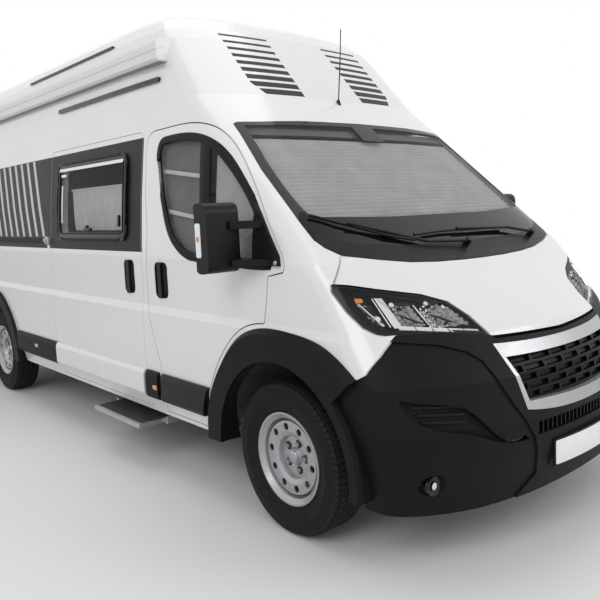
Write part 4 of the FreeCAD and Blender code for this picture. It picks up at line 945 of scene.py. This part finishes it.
def repeated(name, place, material, body, count, step=(0, 0, 0), radius=0.0):
    """Repeats the bench's mesh in a row, or on a ring about the Y axis, and bakes it into one piece."""
    one = linked(name + "_seed", taken(name + "_seed"))
    host = linked(name + "_host", bpy.data.meshes.new(name + "_host"))
    tree = bpy.data.node_groups.new(name + "_copies", "GeometryNodeTree")
    tree.interface.new_socket(name="Geometry", in_out="OUTPUT", socket_type="NodeSocketGeometry")
    if radius:
        points = add(tree, "GeometryNodeMeshCircle", Vertices=count, Radius=radius)
    else:
        points = add(tree, "GeometryNodeMeshLine", Count=count, Offset=step)
    stand = add(tree, "GeometryNodeTransform", Rotation=(math.pi / 2 if radius else 0, 0, 0))
    piece = add(tree, "GeometryNodeObjectInfo", Object=one)
    copies = add(tree, "GeometryNodeInstanceOnPoints")
    plain = add(tree, "GeometryNodeRealizeInstances")
    leave = add(tree, "NodeGroupOutput")
    for source, target in ((points.outputs["Mesh"], stand.inputs["Geometry"]),
                           (stand.outputs["Geometry"], copies.inputs["Points"]),
                           (piece.outputs["Geometry"], copies.inputs["Instance"]),
                           (copies.outputs["Instances"], plain.inputs["Geometry"]),
                           (plain.outputs["Geometry"], leave.inputs["Geometry"])):
        tree.links.new(source, target)
    host.modifiers.new("repeat", "NODES").node_group = tree
    bpy.context.view_layer.update()
    baked = bpy.data.meshes.new_from_object(host.evaluated_get(bpy.context.evaluated_depsgraph_get()))
    baked.transform(Matrix.Translation(Vector(place)))
    for thing in (host, one):
        bpy.data.objects.remove(thing)
    bpy.data.node_groups.remove(tree)
    return placed(name, baked, material, body, False)


RIBS, RIB_PITCH, RIBS_X, RIBS_BACK = 23, 0.032, 2.945, 0.021
SLATS, SLAT_FOOT, SLAT_PITCH = 3, 0.628, 0.030
bar((0, 0, -0.026), (0, 0, 0.026), 0.006, 0.030, (1, 0, 0))
cells = repeated("lower_intake_cells", (RIBS_X, -0.352, 0.550), black_plastic, "body", RIBS,
                 (0, RIB_PITCH, 0))
for vert in cells.data.vertices:
    vert.co.x += front_drop((vert.co.y, 0.500))[0].x - RIBS_X - RIBS_BACK
print("intake cells", len(cells.data.polygons), "faces")
for side_name, side in SIDES:
    for level in range(SLATS):
        z = SLAT_FOOT + SLAT_PITCH * level
        line = [(side * (0.856 + 0.010 * level), z + 0.014), (side * 0.698, z)]
        strip(line, 0.03, -0.010 * side, front_drop, 0.012, 0.014)
    finished("side_intake_slats_" + side_name, black_plastic, "body", 0.001)

# %% [markdown]
# The wheels get five bolts, each on a gloss black disc that is painted shade for its recess, a centre cap and
# a valve. The bolts are a ring of turned pieces, and so are the discs.

# %% Wheel bolts and caps
BOLT_CIRCLE = 0.067
SHADE_DISC = [(0.0, -0.004), (0.021, -0.004), (0.021, 0.001), (0.017, 0.0015), (0.0, 0.0015)]
BOLT = [(0.0, 0.0), (0.0125, 0.0), (0.0125, 0.010), (0.010, 0.014), (0.0, 0.014)]
CAP = [(0.0, 0.0), (0.031, 0.0), (0.031, 0.006), (0.027, 0.010), (0.012, 0.012), (0.0, 0.012)]
ENDS = zip(("front_", "rear_"), AXLES, TRACKS)
WHEELS = [(end + side_name, axle, side, track) for end, axle, track in ENDS for side_name, side in SIDES]
for name, axle, side, track in WHEELS:
    body = "wheel_" + name
    face = on_side(side, "rim_" + name)
    middle, seat = face((axle, HUB_Z))[0], face((axle + BOLT_CIRCLE, HUB_Z))[0]
    centre = (axle, seat.y, HUB_Z)
    # Gloss black discs round the bolts: painted shade for the bolts' recesses.
    turned((0, 0, 0), (0, side, 0), SHADE_DISC, 20)
    repeated("bolt_recesses_" + name, centre, gloss_black, body, 5, radius=BOLT_CIRCLE)
    turned((0, 0, 0), (0, side, 0), BOLT, 6)
    repeated("wheel_bolts_" + name, centre, cast_metal, body, 5, radius=BOLT_CIRCLE)
    turned((axle, middle.y, HUB_Z), (0, side, 0), CAP, 36)
    finished("centre_cap_" + name, wheel_silver, body)
    spot = Vector((axle - 0.118, side * (track + 0.030), HUB_Z + 0.118))
    tube([spot, spot + Vector((0.004, side * 0.030, -0.004))], 0.0042, 12)
    finished("valve_" + name, seal_rubber, body)
print("rim faces at", round(middle.y, 4), "and", round(seat.y, 4))

# %% [markdown]
# Small lamps and fittings: a clear indicator with an amber bulb on each mirror head, a screw on each mirror
# foot, amber markers on the flank mouldings, the end of the sliding door's rail, a high brake lamp over the
# rear doors and the rear doors' handle.

# %% Indicators, markers and small fittings
SCREW = [(0.0, -0.003), (0.011, -0.003), (0.011, 0.002), (0.008, 0.004), (0.003, 0.003), (0.0, 0.001)]
MARKERS = ((-0.968, 0.537), (0.924, 0.520))
for side_name, side in SIDES:
    body = "front_door_" + side_name
    head = on_side(side, "front_door_fittings_" + side_name)
    patch(rounded(square((1.774, 1.815), (1.310, 1.465), 0.010), 1), head, step=0.01)
    finished("mirror_indicator_" + side_name, light_bar, body, 0.001)
    patch(rounded(square((1.785, 1.805), (1.380, 1.407))), head, 0.006, 0.006, 0.01)
    finished("mirror_amber_" + side_name, amber, body, 0.001)
    place, normal = head((2.062, 1.276))
    turned(place, normal, SCREW, 20)
    finished("mirror_screw_" + side_name, silver, body)
    moulding = on_side(side, "side_mouldings", "front_door_fittings_" + side_name)
    for x, z in MARKERS:
        patch(rounded(square((x - 0.032, x + 0.032), (z - 0.014, z + 0.014)), 1), moulding)
    finished("flank_markers_" + side_name, amber, "body", 0.001)
rail_foot = on_side(-1, "side_panel_right", "side_mouldings")
patch(square((-0.668, -0.606), (1.328, 1.384), 0.008), rail_foot, 0.016, 0.020, 0.02)
finished("slide_rail_end", silver, "body", 0.0015)
patch(square((-0.650, -0.616), (1.300, 1.326), 0.006), rail_foot, 0.006, 0.008, 0.02)
finished("slide_rail_stop", white_trim, "body", 0.001)
rear_top = on_back("high_roof", "rear_door_left", "rear_door_right")
patch(rounded(square((-0.170, 0.170), (2.545, 2.575)), 1), rear_top, 0.004, 0.008, 0.05)
finished("high_brake_lamp", red_lens, "body", 0.001)
place, normal = on_back("rear_door_right")((-0.06, 1.16))
grip, half_grip = place + normal * 0.020, Vector((0, 0, 0.09))
bar(grip - half_grip, grip + half_grip, 0.030, 0.014, (1, 0, 0))
for foot in (Vector((0, 0, -0.075)), Vector((0, 0, 0.075))):
    bar(place + foot, place + foot + normal * 0.018, 0.026, 0.024)
finished("rear_door_handle", black_plastic, "rear_door_right", 0.004)

# %% [markdown]
# The awning: a plain end cap with a screw closes each end of the case, and a narrow grey strip along its
# underside is painted shade under the case.

# %% Awning ends and painted shade strip
CASE_SECTION = [(-0.795, 2.366), (-0.914, 2.366), (-0.926, 2.376), (-0.928, 2.456), (-0.921, 2.473),
                (-0.903, 2.484), (-0.795, 2.484)]
CAP_HALF = 0.004
CAP_SCREW = [(0.0, 0.0), (0.007, 0.0), (0.007, 0.003), (0.0, 0.003)]
low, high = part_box("awning")
for end_name, x, way in (("front", high.x, 1), ("rear", low.x, -1)):
    faces = (x - way * CAP_HALF, x + way * CAP_HALF)
    bridged([[Bench.work.verts.new((face, y, z)) for y, z in CASE_SECTION] for face in faces])
    turned((faces[1], -0.900, 2.440), (way, 0, 0), CAP_SCREW, 16)
    finished("awning_cap_" + end_name, white_trim, "body", 0.003)
# The grey strip under the case is painted shade.
bar((low.x + 0.02, -0.880, 2.361), (high.x - 0.02, -0.880, 2.361), 0.050, 0.006)
finished("awning_canvas_lip", awning_shade_cloth, "body", 0.002)

# %% [markdown]
# The entry step's tread is ribbed for grip. The ribs are one more row.

# %% Step ribs
low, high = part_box("step_tread")
bar((0.02, 0, 0), (high.x - low.x - 0.02, 0, 0), 0.006, 0.003)
repeated("step_ribs", (low.x, low.y + 0.025, high.z + 0.0012), seal_rubber, "step_tread", 14,
         (0, 0.013, 0))

# %% [markdown]
# Seats: a hard base, and cushions that are blown up by a cloth simulation, so that they crown in the middle
# and pull in at the corners. One cushion is simulated and then sized for seat, back, head rest, bunk and
# bench.

# %% Blown-up cushions
VOXEL, CLOTH_FRAMES, MOST_SWELL = 0.011, 20, 0.014


def blown(size):
    """A cushion of about that size, centred on the origin."""
    work = Bench.work
    bmesh.ops.create_cube(work, size=1.0)
    bmesh.ops.scale(work, vec=size, verts=work.verts)
    soft = min(size) * 0.22
    bmesh.ops.bevel(work, geom=work.edges[:], offset=soft, segments=3, profile=0.6, affect="EDGES")
    form = linked("cushion_form", taken("cushion_form"))
    even = form.modifiers.new("even mesh", "REMESH")
    even.mode = "VOXEL"
    even.voxel_size = VOXEL
    mesh = bpy.data.meshes.new_from_object(form.evaluated_get(bpy.context.evaluated_depsgraph_get()))
    form.modifiers.clear()
    form.data = mesh
    rest = [v.co.copy() for v in mesh.vertices]
    cloth = form.modifiers.new("cloth", "CLOTH").settings
    cloth.quality = 4
    cloth.use_pressure = True
    cloth.uniform_pressure_force = 4.0
    cloth.effector_weights.gravity = 0.0
    cloth.tension_stiffness = 25
    cloth.compression_stiffness = 25
    for number in range(1, CLOTH_FRAMES + 1):
        bpy.context.scene.frame_set(number)
    result = bpy.data.meshes.new_from_object(form.evaluated_get(bpy.context.evaluated_depsgraph_get()))
    for vert, start in zip(result.vertices, rest):
        move = vert.co - start
        if move.length > MOST_SWELL:
            vert.co = start + move.normalized() * MOST_SWELL
    bpy.context.scene.frame_set(1)
    bpy.data.objects.remove(form)
    return result


SEAT_Y = 0.47
cushion_mesh = blown((0.50, 0.48, 0.13))
reach = [max(abs(v.co[axis]) for v in cushion_mesh.vertices) * 2 for axis in range(3)]
print("cushion of", len(cushion_mesh.vertices), "points")


def cushion(name, size, place, degrees, material):
    """A sized and placed copy of the blown cushion."""
    mesh = cushion_mesh.copy()
    scale = Matrix.Diagonal([wanted / found for wanted, found in zip(size, reach)] + [1])
    mesh.transform(Matrix.Translation(Vector(place)) @ Matrix.Rotation(math.radians(degrees), 4, "Y") @ scale)
    placed(name, mesh, material, "body")


for side_name, side in SIDES:
    y = side * SEAT_Y
    bar((0.925, y, 0.535), (0.925, y, 0.760), 0.34, 0.38, (1, 0, 0))
    bar((1.320, y, 0.535), (1.320, y, 0.700), 0.30, 0.02, (1, 0, 0))
    for rail in (y - 0.14, y + 0.14):
        bar((0.880, rail, 0.770), (1.360, rail, 0.770), 0.03, 0.02)
    for rod in (y - 0.06, y + 0.06):
        tube([(0.842, rod, 1.340), (0.815, rod, 1.480)], 0.007, 8)
    base = finished("seat_base_" + side_name, black_plastic, "body", 0.006)
    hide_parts("cab_seats")
    cushion("seat_cushion_" + side_name, (0.50, 0.47, 0.135), (1.120, y, 0.835), -4, seat_cloth)
    cushion("seat_back_" + side_name, (0.58, 0.46, 0.130), (0.870, y, 1.140), -77, seat_cloth)
    cushion("head_rest_" + side_name, (0.19, 0.27, 0.095), (0.802, y, 1.540), -77, seat_side_cloth)
cushion("bunk_mattress_front", (0.755, 1.74, 0.12), (-1.690, 0, 1.228), 0, mattress_cloth)
cushion("bunk_mattress_rear", (0.755, 1.74, 0.12), (-2.455, 0, 1.228), 0, mattress_cloth)
cushion("bench_cushion", (0.345, 0.68, 0.11), (-0.115, 0.490, 0.950), 0, seat_cloth)

# %% [markdown]
# The photograph was taken from ahead of the van's right front corner, at about standing height. The lens and
# the shift of its middle are given in pixels of a picture 600 pixels wide.

# %% Camera
CAMERA_PLACE = Vector((4.45678, -2.88343, 1.51280))
YAW, PITCH, ROLL = 2.406079, -0.110997, -0.0418862
PICTURE, LENS, SHIFT_X, SHIFT_Y = 600, 682.328, -25.53, -16.377
SENSOR = 36
forward = Vector((math.cos(PITCH) * math.cos(YAW), math.cos(PITCH) * math.sin(YAW), math.sin(PITCH)))
level = forward.cross(Vector((0, 0, 1))).normalized()
upright = level.cross(forward)
right = level * math.cos(ROLL) + upright * math.sin(ROLL)
up = right.cross(forward)
camera = linked("camera", bpy.data.cameras.new("camera"))
camera.matrix_world = Matrix.Translation(CAMERA_PLACE) @ Matrix((right, up, -forward)).transposed().to_4x4()
camera.data.sensor_width = SENSOR
camera.data.lens = SENSOR * LENS / PICTURE
camera.data.shift_x = SHIFT_X / PICTURE
camera.data.shift_y = SHIFT_Y / PICTURE
bpy.context.scene.camera = camera
print("camera looks along", [round(v, 3) for v in forward])

# %% [markdown]
# A pale floor and soft studio light: one broad lamp above the camera's side, a fill from the front left and a
# wide one overhead. The floor fades into white away from the van. The camera itself sees a white sky, while
# the light from the sky stays lower.

# %% Floor and light
FLOOR = 60
FADE_FROM, FADE_TO = 3.2, 6.5
SKY_LIGHT = 0.50
LAMPS = (("key", (5.0, -7.5, 6.5), (0.5, 0, 1.2), 5.0, 235),
         ("fill", (8.0, 4.0, 4.0), (1.5, 0, 1.2), 4.0, 130),
         ("overhead", (-1.0, 0, 8.5), (0, 0, 1), 7.0, 190))
floor_mesh = bpy.data.meshes.new("studio_floor")
floor_mesh.from_pydata([(x * FLOOR, y * FLOOR, 0) for x, y in ((-1, -1), (1, -1), (1, 1), (-1, 1))], [],
                       [(0, 1, 2, 3)])
studio_floor = linked("studio_floor", floor_mesh)
pale = Finish("pale_floor", (0.86, 0.86, 0.86), 0.85).mottled(2, 0.01).uneven(3, 0.03)
studio_floor.data.materials.append(pale.done())
tree = pale.tree
glow = add(tree, "ShaderNodeEmission", Strength=1.0)
camera_ray = Value(tree, add(tree, "ShaderNodeLightPath").outputs["Is Camera Ray"])
fade = add(tree, "ShaderNodeMixShader")
feed(tree, ranged(length(pale.x, pale.y), FADE_FROM, FADE_TO, 0.0, 1.0) * camera_ray, fade.inputs[0])
tree.links.new(tree.nodes["Principled BSDF"].outputs["BSDF"], fade.inputs[1])
tree.links.new(glow.outputs["Emission"], fade.inputs[2])
tree.links.new(fade.outputs["Shader"], tree.nodes["Material Output"].inputs["Surface"])
for name, place, target, size, power in LAMPS:
    lamp = linked(name, bpy.data.lights.new(name, "AREA"))
    lamp.data.shape = "SQUARE"
    lamp.data.size = size
    lamp.data.energy = power
    lamp.location = place
    lamp.rotation_euler = (Vector(target) - Vector(place)).to_track_quat("-Z", "Y").to_euler()
world = bpy.data.worlds.new("sky")
world.use_nodes = True
sky = world.node_tree
light = sky.nodes["Background"]
light.inputs["Color"].default_value = (1, 1, 1, 1)
path = add(sky, "ShaderNodeLightPath")
seen = most(*(Value(sky, path.outputs[kind]) for kind in ("Is Camera Ray", "Is Transmission Ray",
                                                        "Is Glossy Ray")))
feed(sky, ranged(seen, 0.0, 1.0, SKY_LIGHT, 1.0), light.inputs["Strength"])
bpy.context.scene.world = world
bpy.context.scene.view_settings.view_transform = "Standard"
